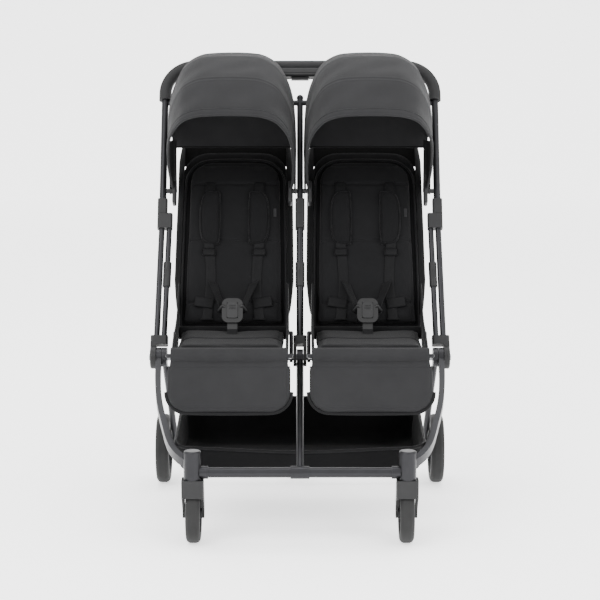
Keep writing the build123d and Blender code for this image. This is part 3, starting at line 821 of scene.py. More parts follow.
@dataclass
class Part:
    """Base of every sub-assembly: it holds the finishes and places its pieces."""

    finishes: Finishes

    def finish(self, obj: Piece, material: Material, slot: str,
               body: str | None = None, lining: Material | None = None) -> Piece:
        """Gives a piece its materials and rides it on a body.

        Args:
            obj: finished piece.
            material: material of its outside.
            slot: not used.
            body: body that it rides on, or None to leave it unattached.
            lining: material of its inner side.
        """
        if not obj.data.materials:
            obj.data.materials.append(material)
            if lining:
                obj.data.materials.append(lining)
        if body:
            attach(obj, body)
        return obj

    def pair(self, obj: Piece, step: float, material: Material, slot: str,
             body: str | None) -> list[tuple[Piece, str]]:
        """Finishes a left piece, repeats it on the right and rides both.

        Args:
            obj: finished piece with "left" in its name.
            step: distance from the left seat to the right one.
            material: material of its outside.
            slot: not used; passed on to finish.
            body: body with {} for the side, or None to leave both unattached.

        Returns:
            Both pieces, each with its side's tag.
        """
        self.finish(obj, material, slot)
        twin = copy_across(obj, step, obj.name.replace("left", "right"))
        both = [(obj, "left"), (twin, "right")]
        for piece, tag in both:
            if body:
                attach(piece, body.format(tag))
        return both


# ------------------------------------------------------------------ hoods
@dataclass
class Hood(Part):
    """One arched hood: two sheets, a rim band and a rear drop."""

    radius: float = 0.355
    half: float = 0.164
    back: float = -8.0
    front: float = 52.0
    sag: float = 0.0030
    taper: float = 0.006
    cloth: float = 0.0022
    drop_length: float = 0.115
    shoulder: tuple[tuple[float, float], ...] = (
        (0, 0), (0.045, 0.0015), (0.082, 0.0075), (0.118, 0.030), (0.140, 0.067), (0.153, 0.104),
        (0.160, 0.145), (0.1635, 0.205), (0.164, 0.270), (0.160, 0.336))
    bows: tuple[float, ...] = (-8.0, 12.0, 32.0, 52.0)
    section: Along = field(init=False)

    def __post_init__(self) -> None:
        right = [Vector((x, self.radius - drop, 0)) for x, drop in self.shoulder]
        left = [Vector((-p.x, p.y, 0)) for p in reversed(right[1:])]
        self.section = Along(smooth_path(left + right, 6))

    def point(self, middle: Vector, across: float, angle: float, grow: float = 0.0) -> Vector:
        """Returns a point of the hood.

        Args:
            middle: the hood's pivot.
            across: share along its arched section.
            angle: degrees forward of upright.
            grow: distance outwards.
        """
        flat = self.section.at(across)
        step = self.section.at(min(across + 0.004, 1)) - self.section.at(max(across - 0.004, 0))
        out = Vector((-step.y, step.x, 0)).normalized()
        flat = flat + out * (grow - self.taper * (angle - self.back) / (self.front - self.back))
        a = math.radians(angle)
        return middle + Vector((flat.x, -flat.y * math.sin(a), flat.y * math.cos(a)))

    def skin(self, middle: Vector, across: float, angle: float) -> float:
        """Returns how far the cloth stands out: slack between bows, ridges over them."""
        gap = self.bows[1] - self.bows[0]
        phase = (angle - self.bows[0]) % gap / gap
        top = self.section.at(across).y / self.radius
        slack = -self.sag * arc(phase) ** 2 * top
        near = min(abs(angle - bow) for bow in self.bows)
        ridge = 0.0007 * bump(near - 0.9, 0.35) - 0.0006 * bump(near, 0.3)
        ripple = 0.0008 * math.sin(across * 41 + angle * 0.35) * arc(phase) * top
        return slack + ridge + ripple

    def sheet(self, name: str, middle: Vector, start: float, end: float) -> Piece:
        """Makes the cloth between two angles."""
        def shape(u: float, v: float) -> Vector:
            angle = start + (end - start) * v
            return self.point(middle, u, angle, self.skin(middle, u, angle))

        obj = surface(name, shape, 110, 60, middle)
        obj.data.materials.append(self.finishes.hood)
        obj.data.materials.append(self.finishes.lining)
        thicken(obj, self.cloth, lining=1)
        return smooth(obj, ROUND_SHADING)

    def dress(self, side: Side) -> None:
        """Makes and places one side's hood."""
        tag = side.tag
        middle = pivot(f"hood_fold_{tag}")
        split = (self.back + self.front) / 2
        trims = self.rim(middle, tag)
        rear = self.sheet(f"hood_cloth_rear_{tag}", middle, self.back, split)
        front = self.sheet(f"hood_cloth_front_{tag}", middle, split, self.front)
        joint = f"hood_middle_{tag}"
        far = f"hood_front_{tag}"
        for obj, node, lower, upper, a0, a1, sewn in (
            (rear, f"hood_rear_{tag}", "push_frame", joint, self.back, split, ()),
            (front, far, joint, far, split, self.front, trims),
        ):
            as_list(sewn)
            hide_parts(node)
            self.point(middle, 0.5, a0)
            self.point(middle, 0.5, a1)
            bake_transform(obj)
        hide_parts(f"hood_middle_{tag}")
        self.drop(middle, side)
        self.hubs(middle, side)
        self.gussets(middle, side)

    def rim(self, middle: Vector, tag: str) -> list[Piece]:
        """Makes the bound front edge and its seam, and returns the pieces."""
        wide = 2.8

        def shape(u: float, v: float) -> Vector:
            swell = 0.0012 + 0.0008 * arc(v)
            return self.point(middle, u, self.front - wide * (1 - v), swell)

        band = surface(f"hood_rim_{tag}", shape, 110, 6, middle)
        made_up(band, 0.0052, sharp=50)
        self.finish(band, self.finishes.hood, "hood_fabric", f"hood_front_{tag}")
        edge = [self.point(middle, i / 60, self.front, -0.0012) for i in range(61)]
        hem = tube(f"hood_rim_piping_{tag}", edge, 0.0032)
        self.finish(hem, self.finishes.hood, "hood_fabric", f"hood_front_{tag}")
        seam = [self.point(middle, i / 60, self.front - wide, 0.0014) for i in range(61)]
        line = tube(f"hood_rim_seam_{tag}", seam, 0.0009, sides=1)
        self.finish(line, self.finishes.thread, "hood_fabric", f"hood_front_{tag}")
        return [band, hem, line]

    def drop(self, middle: Vector, side: Side) -> None:
        """Makes the rear panel that falls from the rear bow behind the seat back."""
        foot = self.half - 0.005
        edge_share = 0.15
        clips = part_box("hood_clips")
        face = clips[0].y - 0.002
        hem_z = (clips[0].z + clips[1].z) / 2 - self.drop_length

        def shape(u: float, v: float) -> Vector:
            top = self.point(middle, edge_share + (1 - 2 * edge_share) * u, self.back, -0.0022)
            bottom = Vector((middle.x + foot * (2 * u - 1), face, hem_z))
            out = top.lerp(bottom, v)
            ease = min(1.0, v * 2.2)
            out.y = top.y + (face - top.y) * ease * ease * (3 - 2 * ease)
            out.y -= 0.003 * arc(u) * arc(v)
            return out

        panel = surface(f"hood_drop_{side.tag}", shape, 60, 36, middle)
        made_up(panel, self.cloth, offset=0)
        self.finish(panel, self.finishes.hood, "hood_fabric", "push_frame")
        hem_line = [Vector((middle.x + foot * (2 * i / 12 - 1), face, hem_z + 0.001))
                    for i in range(13)]
        hem = tube(f"hood_drop_hem_{side.tag}", hem_line, 0.0026)
        self.finish(hem, self.finishes.binding, "hood_fabric", "push_frame")

    def gussets(self, middle: Vector, side: Side) -> None:
        """Makes the dark side curtains between the hood's foot and the seat back."""
        for sign, word in ((1, "plus"), (-1, "minus")):
            reach = 0.0155 if sign == side.value else 0.0045

            def shape(u: float, v: float) -> Vector:
                fold = 0.0012 * math.sin(u * 9) * arc(v)
                return middle + Vector((sign * (self.half - 0.001 - reach * u + fold), 0.030 + 0.052 * u,
                                        -0.012 + 0.138 * v))

            curtain = surface(f"hood_gusset_{word}_{side.tag}", shape, 10, 14, middle)
            made_up(curtain, 0.0014, offset=0)
            self.finish(curtain, self.finishes.shell, "hood_fabric", "push_frame")

    def hubs(self, middle: Vector, side: Side) -> None:
        """Makes the moulded hinge covers at the foot of both hood sides."""
        for sign, word in ((1, "plus"), (-1, "minus")):
            x = middle.x + sign * (self.half - 0.0155)
            place = Matrix.Translation((x, middle.y - 0.004, middle.z - 0.006))
            place = place @ turned(TUBE_LEAN, "X")
            size = Vector((0.010, 0.034, 0.058))
            cover = rounded_block(f"hood_hinge_{word}_{side.tag}", size, place, 0.003)
            self.finish(cover, self.finishes.black, "moulded_black", "push_frame")


# ------------------------------------------------------------------ seats
@dataclass
class SeatBack(Part):
    """Reclining back: stuffed pad on a dark shell, with wings and shoulder straps."""

    lean: float = BACK_LEAN
    pad: Outline = Outline(0.131, 0.126, 0.016, 0.489, 0.066)
    shell: Outline = Outline(0.138, 0.132, 0.004, 0.514, 0.062)
    face: float = 0.0150
    seams: tuple[float, ...] = (0.077, 0.252, 0.413)
    strap_x: float = 0.064
    strap_half: float = 0.0125

    def make_pad(self) -> Piece:
        """Makes the crowned pad with its cross seams."""
        pad = slab("back_pad_left", self.pad.points(0.004), -0.006, self.face - 0.003, 0.006)
        stuffed(pad, Stuffing(cap=0.006))

        def depth(p: Vector) -> float:
            if p.z < 0:
                return 0.0
            cross = sum(bump(p.y - y, 0.0035) for y in self.seams)
            inset = min(self.pad.half_low - 0.016 - abs(p.x), self.pad.end - 0.020 - p.y)
            border = bump(inset, 0.0028) if p.y > 0.03 else 0.0
            return 0.0036 * min(cross, 1) * (1 if inset > 0 else 0.2) + 0.0016 * border

        press(pad, depth)
        move(pad, self.place)
        return smooth(pad, ROUND_SHADING)

    def dress(self) -> None:
        """Makes both seat backs; the right one repeats the left."""
        axis = pivot("recline_left")
        step = pivot("recline_right").x - axis.x
        self.place = leaning_frame(axis, self.lean)
        pad = self.make_pad()
        shell = slab("back_shell_left", self.shell.points(), -0.0165, -0.003, 0.004)
        move(shell, self.place)
        smooth(clean(shell), 40)
        ends = [axis + Vector((x, 0, 0)) for x in (-0.136, -0.05, 0.05, 0.136)]
        roll = tube("back_heel_left", ends, 0.0165, sides=8)
        rim = tube("back_piping_left", [self.place @ (p + Vector((0, 0, 0.002)))
                                        for p in self.pad.points(-0.0015)], 0.0030, closed=True)
        edge = tube("back_shell_binding_left", [self.place @ (p + Vector((0, 0, -0.009)))
                                                for p in self.shell.points(0.0)], 0.0030, closed=True)
        made = [
            (pad, self.finishes.seat, "seat_fabric"),
            (shell, self.finishes.shell, "seat_fabric"),
            (roll, self.finishes.shell, "seat_fabric"),
            (rim, self.finishes.binding, "seat_fabric"),
            (edge, self.finishes.binding, "seat_fabric"),
        ]
        made += [(wing, self.finishes.shell, "seat_fabric") for wing in self.wings()]
        head = Outline(0.139, 0.138, 0.480, 0.590, 0.022)
        flap = slab("back_flap_left", head.points(), -0.0135, -0.0115, 0.0006)
        made.append((smooth(clean(move(flap, self.place)), 40), self.finishes.lining, "seat_fabric"))
        tab = rounded_block("back_side_tab_left", Vector((0.008, 0.024, 0.0016)),
                            self.place @ Matrix.Translation((0.1035, 0.330, 0.0170)), 0.0005, 0.001)
        made.append((tab, self.finishes.thread, "seat_fabric"))
        made += [(piece, self.finishes.webbing, "harness") for piece in self.stubs()]
        made += [(piece, self.finishes.pad, "harness") for piece in self.shoulder_pads()]
        for obj, material, slot in made:
            for piece, tag in self.pair(obj, step, material, slot, "seat_back_{}"):
                if piece.name.startswith("back_pad"):
                    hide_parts(f"backrest_{tag}")
                if piece.name.startswith("shoulder_pad_near"):
                    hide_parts(f"shoulder_pads_{tag}")

    def wings(self) -> list[Piece]:
        """Makes the dark edge panels that close the gap to the frame tubes."""
        out = []
        for sign, word in ((1, "outer"), (-1, "inner")):
            reach = 0.0155

            def shape(u: float, v: float) -> Vector:
                y = 0.050 + 0.515 * v
                swell = min(1.0, 5 * v, 7 * (1 - v)) ** 0.5
                x = 0.1375 - 0.005 * v + reach * swell * math.sin(math.pi / 2 * u)
                z = 0.004 - 0.016 * u + 0.0015 * math.sin(v * 17)
                return self.place @ Vector((sign * x, y, z))

            wing = surface(f"back_wing_{word}_left", shape, 8, 50, self.place @ Vector((0, 0.25, 0)))
            out.append(made_up(wing, 0.002))
        return out

    def stubs(self) -> list[Piece]:
        """Makes the tape above each shoulder pad and the slots that it enters."""
        out = []
        for sign, word in ((-1, "near"), (1, "far")):
            line = smooth_path([Vector((sign * self.strap_x, y, z)) for y, z in (
                (0.385, 0.0255), (0.402, 0.0235), (0.418, 0.0175), (0.428, 0.010))], 5)
            out.append(self.tape(f"shoulder_tape_{word}_left", line))
            slot = [self.place @ Vector((sign * self.strap_x + x, 0.4255 + y, 0.0165)) for x, y in (
                (-0.016, -0.003), (0.016, -0.003), (0.0175, 0),
                (0.016, 0.003), (-0.016, 0.003), (-0.0175, 0))]
            out.append(tube(f"shoulder_slot_{word}_left", slot, 0.0016, closed=True))
            line = smooth_path([Vector((sign * (self.strap_x - shift), y, z)) for shift, y, z in (
                (0, 0.240, 0.0250), (0.001, 0.222, 0.0235), (0.004, 0.190, 0.0205),
                (0.006, 0.150, 0.0200), (0.005, 0.100, 0.0205), (0.001, 0.060, 0.0205),
                (-0.002, 0.030, 0.0190))], 5)
            out.append(self.tape(f"shoulder_tail_{word}_left", line))
            spot = self.place @ Matrix.Translation((sign * self.strap_x, 0.214, 0.0248))
            size = Vector((0.034, 0.020, 0.0036))
            out.append(rounded_block(f"tri_glide_{word}_left", size, spot, 0.0012, 0.005))
        return out

    def tape(self, name: str, line: Sequence[Vector]) -> Piece:
        """Makes shoulder tape along points given in the back's own place."""
        wide = Vector((self.strap_half, 0, 0))
        return ribbon(name, [self.place @ p for p in line], [wide] * len(line), 0.0016)

    def shoulder_pads(self) -> list[Piece]:
        """Makes the shoulder pads: straight inner edge, curved outer edge, sewn border."""
        low, high, half, corner = 0.234, 0.390, 0.028, 0.030
        out = []
        for sign, word in ((-1, "near"), (1, "far")):
            outline: list[Vector] = []
            middle = (low + high) / 2
            reach = (high - low) / 2
            outline.append(Vector((-half + 0.004, low, 0)))
            for k in range(13):
                a = math.radians(-90 + 180 * k / 12)
                bulge = max(math.cos(a), 0) ** 0.6
                rise = math.copysign(abs(math.sin(a)) ** 0.7, math.sin(a))
                outline.append(Vector((-half + 0.016 + (2 * half - 0.016) * bulge,
                                       middle + reach * rise, 0)))
            outline.append(Vector((-half + 0.004, high, 0)))
            outline += [Vector((-half, high - 0.006, 0)), Vector((-half, low + 0.006, 0))]
            pad = slab(f"shoulder_pad_{word}_left", outline, 0.0178, 0.0265, 0.003)
            stuffed(pad, Stuffing(voxel=0.004, cap=0.003))

            def depth(p: Vector) -> float:
                inset = min(half - abs(p.x) - 0.006, p.y - low - 0.007, high - 0.007 - p.y)
                curve = corner - abs(p.x)
                return 0.0014 * bump(min(inset, curve), 0.0018) if p.z > 0.022 else 0.0

            press(pad, depth)
            rim = [Vector((p.x * 0.86 - 0.001, middle + (p.y - middle) * 0.945, 0.0282)) for p in outline]
            cord = tube(f"shoulder_pad_cord_{word}_left", rim, 0.0012, closed=True, sides=1)
            for piece in (pad, cord):
                if sign < 0:
                    piece.data.transform(Matrix.Diagonal((-1, 1, 1, 1)))
                    piece.data.flip_normals()
                piece.data.transform(Matrix.Translation((sign * self.strap_x, 0, 0)))
                move(piece, self.place)
                out.append(smooth(piece, ROUND_SHADING))
        return out


@dataclass
class SeatCushion(Part):
    """Seat cushion with side wings and sewn channels."""

    half: float = 0.137
    height: float = 0.044
    channel: float = 0.5

    def dress(self) -> None:
        """Makes both cushions; the right one repeats the left."""
        low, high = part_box("seat_base_left")
        knee, bight = pivot("calf_fold_left"), pivot("recline_left")
        step = pivot("recline_right").x - bight.x
        top = bight.z + 0.014
        front, rear = knee.y + 0.024, bight.y - 0.012
        outline = Outline(self.half, self.half, front, rear, 0.012, 0.010).points(0.004)
        place = Matrix.Translation((bight.x, 0, 0))
        pad = slab("seat_pad_left", outline, top - self.height + 0.004, top - 0.006, 0.008)
        stuffed(pad, Stuffing(cap=0.007))
        length = rear - front

        def depth(p: Vector) -> float:
            if p.z < top - 0.02:
                return 0.0
            across = bump(p.y - (front + length * self.channel), 0.0035)
            border = bump(min(self.half - 0.018 - abs(p.x), p.y - front - 0.016), 0.003)
            dish = 0.004 * math.cos(p.x / self.half * math.pi / 2)
            dish *= math.sin(math.pi * (p.y - front) / length)
            return 0.0035 * across + 0.0016 * border + dish

        press(pad, depth)
        move(pad, place)
        made = [(smooth(pad, ROUND_SHADING), self.finishes.seat)]
        for sign, word in ((1, "outer"), (-1, "inner")):
            made += self.wing(sign, word, bight, knee, low, high)
        for obj, material in made:
            for piece, tag in self.pair(obj, step, material, "seat_fabric", "chassis"):
                if piece.name.startswith("seat_pad"):
                    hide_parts(f"seat_base_{tag}")
                piece.name.startswith("seat_wing") and "binding" not in piece.name

    def wing(self, sign: int, word: str, bight: Vector, knee: Vector, low: Vector,
             high: Vector) -> list[tuple[Piece, Material]]:
        """Makes one side wing and the binding along its upper edge."""
        x = bight.x + sign * (self.half + 0.0005)
        crest = Vector((0, high.y - 0.012, high.z - 0.002))
        edge = smooth_path([Vector((0, knee.y + 0.022, bight.z - 0.010)),
                            Vector((0, knee.y + 0.070, bight.z + 0.016)),
                            Vector((0, crest.y - 0.100, crest.z - 0.070)),
                            Vector((0, crest.y - 0.030, crest.z - 0.022)), crest], 6)
        count = len(edge) - 1
        foot = bight.z - 0.026

        def shape(u: float, v: float) -> Vector:
            upper = edge[min(int(v * count + 0.5), count)]
            base = Vector((0, upper.y, max(foot, foot + (upper.y - bight.y + 0.03) * 1.35)))
            p = base.lerp(upper, u)
            p.x = x + sign * (0.0010 * arc(u) - 0.0012 * u)
            return p

        wing = surface(f"seat_wing_{word}_left", shape, 10, count, Vector((bight.x, bight.y, bight.z)))
        made_up(wing, 0.004, offset=0)
        binding = tube(f"seat_wing_binding_{word}_left",
                       [p + Vector((x - sign * 0.0012, 0, 0)) for p in edge[::3]], 0.0028)
        return [(wing, self.finishes.shell), (binding, self.finishes.binding)]


@dataclass
class CalfRest(Part):
    """Calf panel on its front roll, with piping and a sewn head seam."""

    lean: float = 205.5
    panel: Outline = Outline(0.150, 0.150, 0.004, 0.141, 0.052)
    roll: float = 0.0195

    def dress(self) -> None:
        """Makes both calf rests; the right one repeats the left."""
        axis = pivot("calf_fold_left")
        step = pivot("calf_fold_right").x - axis.x
        place = leaning_frame(axis, self.lean)
        panel = slab("calf_panel_left", self.panel.points(0.0005), -0.0085, 0.0085, 0.005)
        stuffed(panel, Stuffing(voxel=0.005, cap=0.004))

        def depth(p: Vector) -> float:
            head = bump(p.y - 0.030, 0.0022)
            inset = min(self.panel.half_low - 0.011 - abs(p.x), self.panel.end - 0.011 - p.y)
            return 0.0018 * head + 0.0012 * bump(inset, 0.002)

        press(panel, depth)
        shoulder, notch = 0.028, 0.139
        for vertex in panel.data.vertices:
            if vertex.co.y < shoulder and abs(vertex.co.x) > notch:
                vertex.co.y = shoulder + (vertex.co.y - shoulder) * 0.05
        move(panel, place)
        smooth(panel, ROUND_SHADING)
        ends = [axis + Vector((x, 0, 0)) for x in (-0.1385, -0.06, 0.06, 0.1385)]
        roll = tube("calf_roll_left", ends, self.roll, sides=10)
        outline = [p for p in self.panel.points(0.0015) if p.y > 0.020]
        piping = tube("calf_piping_left", [place @ p for p in outline], 0.0042)
        tab = rounded_block("calf_strip_left", Vector((0.052, 0.0065, 0.0012)),
                            place @ Matrix.Translation((0, 0.100, -0.0118)), 0.0004, 0.0015)
        for obj, material in ((panel, self.finishes.calf), (roll, self.finishes.calf),
                              (piping, self.finishes.binding), (tab, self.finishes.thread)):
            for piece, tag in self.pair(obj, step, material, "calf_fabric", "calf_rest_{}"):
                if piece.name.startswith("calf_panel"):
                    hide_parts(f"calf_rest_{tag}")


@dataclass
class Harness(Part):
    """Waist and shoulder tapes that meet at the buckle, and the buckle's details."""

    tape_half: float = 0.0125
    tape: float = 0.0016

    def dress(self) -> None:
        """Makes both harnesses; the right one repeats the left."""
        axis = pivot("recline_left")
        step = pivot("recline_right").x - axis.x
        back = leaning_frame(axis, BACK_LEAN)
        low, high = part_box("buckle_left")
        middle = (low + high) / 2
        made: list[tuple[Piece, Material, str | None]] = []

        def block(name: str, size: Sequence[float], spot: Matrix, edge: float, corner: float,
                  material: Material, body: str) -> None:
            made.append((rounded_block(f"{name}_left", Vector(size), spot, edge, corner), material, body))

        for sign, word in ((-1, "near"), (1, "far")):
            top = back @ Vector((sign * 0.052, 0.130, 0.0222))
            arm = Vector((axis.x + sign * 0.0245, middle.y, middle.z)) + lean(BUCKLE_LEAN) * 0.012
            line = smooth_path([top, top.lerp(arm, 0.35) + Vector((sign * 0.002, 0, 0.004)),
                                top.lerp(arm, 0.75) + Vector((0, 0, 0.002)), arm], 7)
            wide = [Vector((self.tape_half * 0.95, 0, sign * 0.005)).lerp(
                Vector((0.0085, 0, sign * 0.0075)), i / (len(line) - 1)) for i in range(len(line))]
            strap = ribbon(f"buckle_strap_{word}_left", line, wide, self.tape)
            made.append((strap, self.finishes.webbing, None))
            turn = turned(BUCKLE_LEAN - 90, "X")
            turn = turn @ turned(-sign * 32, "Z")
            spot = Matrix.Translation(arm + Vector((0, -0.002, 0.002))) @ turn
            block(f"buckle_arm_{word}", (0.019, 0.026, 0.009), spot, 0.0022, 0.005,
                  self.finishes.buckle, "chassis")
            spot = back @ Matrix.Translation((sign * 0.074, 0.074, 0.0225))
            spot = spot @ turned(sign * 9, "Z")
            block(f"waist_fold_{word}", (0.048, 0.027, 0.0034), spot, 0.0012, 0.003,
                  self.finishes.webbing, "seat_back_{}")
            spot = back @ Matrix.Translation((sign * 0.066, 0.030, 0.0186))
            block(f"waist_slot_{word}", (0.032, 0.0045, 0.0018), spot, 0.0006, 0.0018,
                  self.finishes.binding, "seat_back_{}")
        foot = Vector((middle.x, low.y + 0.002, low.z - 0.001))
        line = smooth_path([foot + Vector((0, -0.030, -0.004)), foot + Vector((0, -0.010, 0.0005)),
                            foot + Vector((0, 0.004, 0.010)), foot + Vector((0, 0.011, 0.024))], 5)
        wide = [Vector((self.tape_half, 0, 0))] * len(line)
        crotch = ribbon("crotch_strap_left", line, wide, self.tape)
        made.append((crotch, self.finishes.webbing, "chassis"))
        spot = Matrix.Translation(foot + Vector((0, -0.032, -0.004)))
        block("crotch_patch", (0.046, 0.014, 0.0022), spot, 0.0007, 0.003,
              self.finishes.binding, "chassis")
        key_low, key_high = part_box("buckle_key_left")
        key = (key_low + key_high) / 2
        press_axis = Vector(next(j for j in frame["record"]["behaviour"]["joints"]
                                 if j["name"] == "buckle_press_left")["axis"])
        face = key - press_axis * ((key_high - key_low).dot(Vector((0, abs(press_axis.y), 0))) * 0.18)
        for i in range(3):
            spot = Matrix.Translation(face + lean(BUCKLE_LEAN) * (0.004 * (i - 1) + 0.008))
            spot = spot @ turned(90 - BUCKLE_LEAN, "X")
            block(f"buckle_rib_{i}", (0.016, 0.0016, 0.0016), spot, 0.0005, 0,
                  self.finishes.key, "buckle_key_{}")
        for obj, material, body in made:
            slot = "buckle_plastic" if "buckle" in obj.name else "harness"
            for piece, tag in self.pair(obj, step, material, slot, body):
                if body is None:
                    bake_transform(piece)


# ------------------------------------------------------------------ basket
@dataclass
class Basket(Part):
    """Sagging cloth basket with a bound rim, hanger tapes and snaps."""

    wall: float = 0.0022
    corner: float = 0.040
    sag: float = 0.006
    half: float = 0.298
    rim_front: float = 0.208
    foot_turn: float = 0.018
    wall_share: float = 0.52

    def dress(self) -> None:
        """Makes the basket and its bindings."""
        low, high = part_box("basket")
        half = self.half
        front, back = low.y + 0.002, high.y - 0.002
        rim_front, rim_back, floor = self.rim_front, high.z - 0.004, low.z + 0.003
        corner = self.corner

        outline = []
        for x, y, begin in ((1, 1, 0), (-1, 1, 90), (-1, -1, 180), (1, -1, 270)):
            cx = x * (half - corner)
            cy = (back - corner) if y > 0 else (front + corner)
            for k in range(9):
                a = math.radians(begin + 90 * k / 8)
                outline.append(Vector((cx + corner * math.cos(a), cy + corner * math.sin(a), 0)))
        around = Along(outline + [outline[0]])
        middle = Vector((0, (front + back) / 2, 0))

        def rim_height(p: Vector) -> float:
            share = (p.y - front) / (back - front)
            dip = 0.010 * math.cos(p.x / half * math.pi / 2) ** 2 * (1 if share < 0.5 else 0.6)
            return rim_front + (rim_back - rim_front) * share - dip

        def shape(u: float, v: float) -> Vector:
            rim = around.at(u)
            if v < self.wall_share:
                t = v / self.wall_share
                z = rim_height(rim) + (floor + self.foot_turn - rim_height(rim)) * t
                bow = 1 - 0.035 * t - 0.012 * arc(t) * math.sin(u * 24) ** 2
                p = middle + (rim - middle) * bow
            else:
                t = (v - self.wall_share) / (1 - self.wall_share)
                curve = math.sin(math.pi / 2 * min(t * 5, 1))
                p = middle + (rim - middle) * 0.965 * (1 - t)
                z = floor + self.foot_turn * (1 - curve) - self.sag * math.sin(math.pi / 2 * t) * 0.35
            return Vector((p.x, p.y, max(z, low.z)))

        bag = surface("basket_cloth", shape, 144, 40, Vector((0, middle.y, floor + 0.05)))
        clean(bag, inside_out=False)
        bag.data.materials.append(self.finishes.basket)
        made_up(bag, self.wall)
        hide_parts("basket")
        rim = []
        for i in range(48):
            p = around.at(i / 48)
            rim.append(Vector((p.x, p.y, rim_height(p))))
        binding = tube("basket_rim_binding", rim, 0.0038, closed=True)
        self.finish(binding, self.finishes.binding, "basket_fabric")
        pieces = [bag, binding]
        rear_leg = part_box("rear_leg_left")
        for sign, word in ((1, "left"), (-1, "right")):
            reach = rear_leg[0].x - half - 0.001
            for y, z_low, z_top, out, label in (
                (front + 0.024, rim_front - 0.012, 0.244, 0.016, "front"),
                (back - 0.028, rim_back - 0.006, rim_back - 0.006, reach, "rear"),
            ):
                start = Vector((sign * (half - 0.002), y, z_low))
                end = Vector((sign * (half + out), y, z_top))
                line = [start.lerp(end, k / 6) for k in range(7)]
                tab = ribbon(f"basket_hanger_{label}_{word}", line, [Vector((0, 0.011, 0))] * 7, 0.002)
                self.finish(tab, self.finishes.binding, "basket_fabric")
                pieces.append(tab)
            for k in range(2):
                spot = Vector((sign * (half + 0.0005), middle.y + 0.05 * (2 * k - 1), 0.200))
                place = Matrix.Translation(spot) @ turned(90, "Y")
                size = Vector((0.012, 0.012, 0.003))
                snap = rounded_block(f"basket_snap_{k}_{word}", size, place, 0.001, 0.0055)
                self.finish(snap, self.finishes.buckle, "basket_fabric")
                pieces.append(snap)
        for piece in pieces:
            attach(piece, "chassis")
            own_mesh(piece)


# ------------------------------------------------------------------ frame
@dataclass
class FrameDressing(Part):
    """Finishes for the frame's own nodes, and small hardware on them."""

    def dress(self) -> None:
        """Gives every shown node its material and adds the hardware."""
        for part in frame["record"]["subparts"]:
            mesh = frame["nodes"][part["node"]].data
            mesh.materials.clear()
            mesh.materials.append(self.material_of(part["node"], part["material_slot"]))
        self.tread()
        self.screws()

    def material_of(self, node: str, slot: str) -> Material:
        """Returns a node's material; a buckle's key is lighter than its body."""
        return self.finishes.key if node.startswith("buckle_key") else self.finishes.of_slot(slot)

    def tread(self) -> None:
        """Lays shallow running ribs round each tyre and a trim ring on each hub cap."""
        for kind in ("front", "rear"):
            for tag in ("left", "right"):
                low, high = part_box(f"{kind}_tyre_{tag}")
                middle = (low + high) / 2
                radius = (high.z - low.z) / 2
                wide = high.x - low.x
                for k, share in enumerate((-0.24, -0.08, 0.08, 0.24)):
                    drop = radius * 0.055 * (2 * abs(share)) ** 2
                    ring = self.ring(f"{kind}_tread_{k}_{tag}",
                                     Vector((middle.x + share * wide, middle.y, middle.z)),
                                     radius - 0.0018 - drop, 0.0019)
                    self.finish(ring, self.finishes.tyre, "tyre", f"{kind}_wheel_{tag}")
                for sign, word in ((-1, "inner"), (1, "outer")):
                    ring = self.ring(f"{kind}_rim_trim_{word}_{tag}",
                                     Vector((middle.x + sign * (wide / 2 - 0.0045), middle.y, middle.z)),
                                     radius * 0.74, 0.0016)
                    self.finish(ring, self.finishes.rim, "wheel_rim", f"{kind}_wheel_{tag}")

    def ring(self, name: str, middle: Vector, radius: float, wire: float) -> Piece:
        """Makes a round rib about an axis along X."""
        start_clear()
        bpy.ops.mesh.primitive_torus_add(major_radius=radius, minor_radius=wire,
                                         major_segments=96, minor_segments=8)
        obj = bpy.context.object
        obj.name = name
        move(obj, Matrix.Translation(middle) @ turned(90, "Y"))
        obj.location = (0, 0, 0)
        return smooth(obj, ROUND_SHADING)

    def screws(self) -> None:
        """Puts a domed screw head on each outer hub."""
        for tag, sign in (("left", 1), ("right", -1)):
            low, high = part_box(f"fold_hub_{tag}")
            face = high.x if sign > 0 else low.x
            hub = pivot("front_fold")
            spot = Vector((face - sign * 0.001, hub.y, hub.z))
            place = Matrix.Translation(spot) @ turned(90, "Y")
            cap = rounded_block(f"hub_screw_{tag}", Vector((0.015, 0.015, 0.004)), place, 0.0012, 0.0068)
            self.finish(cap, self.finishes.steel, "steel", "chassis")


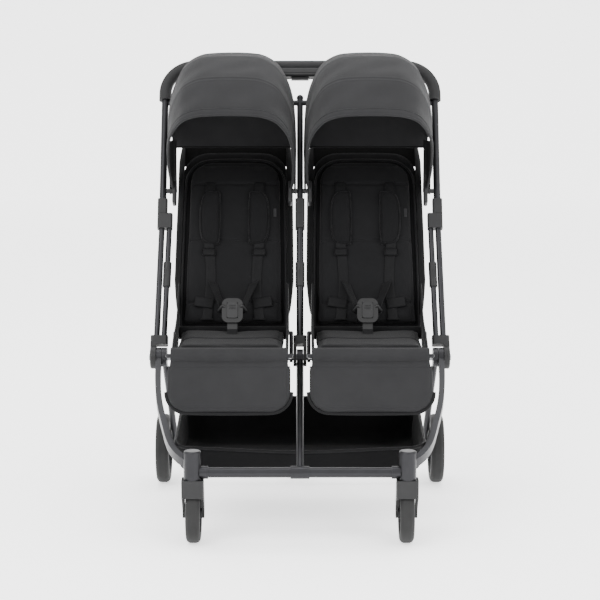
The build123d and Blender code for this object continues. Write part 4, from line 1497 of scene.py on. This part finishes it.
# ------------------------------------------------------------------ studio
@dataclass
class Studio:
    """Floor, light and camera."""

    finishes: Finishes
    target: tuple[float, float, float] = (0.0, -0.066, 0.534)
    distance: float = 4.77
    elevation: float = 9.3
    lens: float = 117.0
    sensor: float = 36.0
    room: float = 14.0
    ambient: float = 2.2

    def build(self) -> None:
        """Adds the stage, the lights and the camera."""
        self.floor()
        self.world()
        self.lights()
        self.camera()

    def floor(self) -> None:
        """Adds a wide plain floor with a softly raised rear edge."""
        start_clear()
        bpy.ops.mesh.primitive_plane_add(size=self.room)
        floor = bpy.context.object
        floor.name = "studio_floor"
        edit(floor, lambda p: p.y > 0)
        bpy.ops.mesh.extrude_edges_move(TRANSFORM_OT_translate={"value": (0, 1.5, 6)})
        leave()
        floor.data.materials.append(self.finishes.floor)

    def world(self) -> None:
        """Fills the room with even white light."""
        world = bpy.data.worlds.new("studio")
        bpy.context.scene.world = world
        world.use_nodes = True
        back = world.node_tree.nodes["Background"]
        preset(back, Color=(1, 1, 1, 1), Strength=self.ambient)

    def lights(self) -> None:
        """Adds a soft key, a fill and a top light."""
        for name, place, power, size in (("key", (-2.4, -3.4, 3.4), 150, 2.2),
                                         ("fill", (3.0, -2.6, 2.0), 90, 2.6),
                                         ("top", (0.0, 0.6, 4.0), 130, 3.0)):
            data = bpy.data.lights.new(name, "AREA")
            data.energy = power
            data.size = size
            lamp = bpy.data.objects.new(name, data)
            bpy.context.collection.objects.link(lamp)
            lamp.location = place
            aim = Vector(self.target) - Vector(place)
            lamp.rotation_euler = aim.to_track_quat("-Z", "Y").to_euler()

    def camera(self) -> None:
        """Adds the camera at the product view."""
        data = bpy.data.cameras.new("camera")
        data.lens = self.lens
        data.sensor_width = self.sensor
        camera = bpy.data.objects.new("camera", data)
        bpy.context.collection.objects.link(camera)
        a = math.radians(self.elevation)
        away = Vector((0, -math.cos(a), math.sin(a)))
        camera.location = Vector(self.target) + away * self.distance
        camera.rotation_euler = (-away).to_track_quat("-Z", "Y").to_euler()
        bpy.context.scene.camera = camera


def main() -> None:
    """Builds every sub-assembly, then the studio."""
    logging.basicConfig(level=logging.INFO)
    finishes = Finishes()
    FrameDressing(finishes).dress()
    hood = Hood(finishes)
    for side in Side:
        hood.dress(side)
    log.info("hoods done")
    SeatBack(finishes).dress()
    SeatCushion(finishes).dress()
    CalfRest(finishes).dress()
    log.info("padding done")
    Harness(finishes).dress()
    Basket(finishes).dress()
    Studio(finishes).build()


if __name__ == "__main__":
    main()
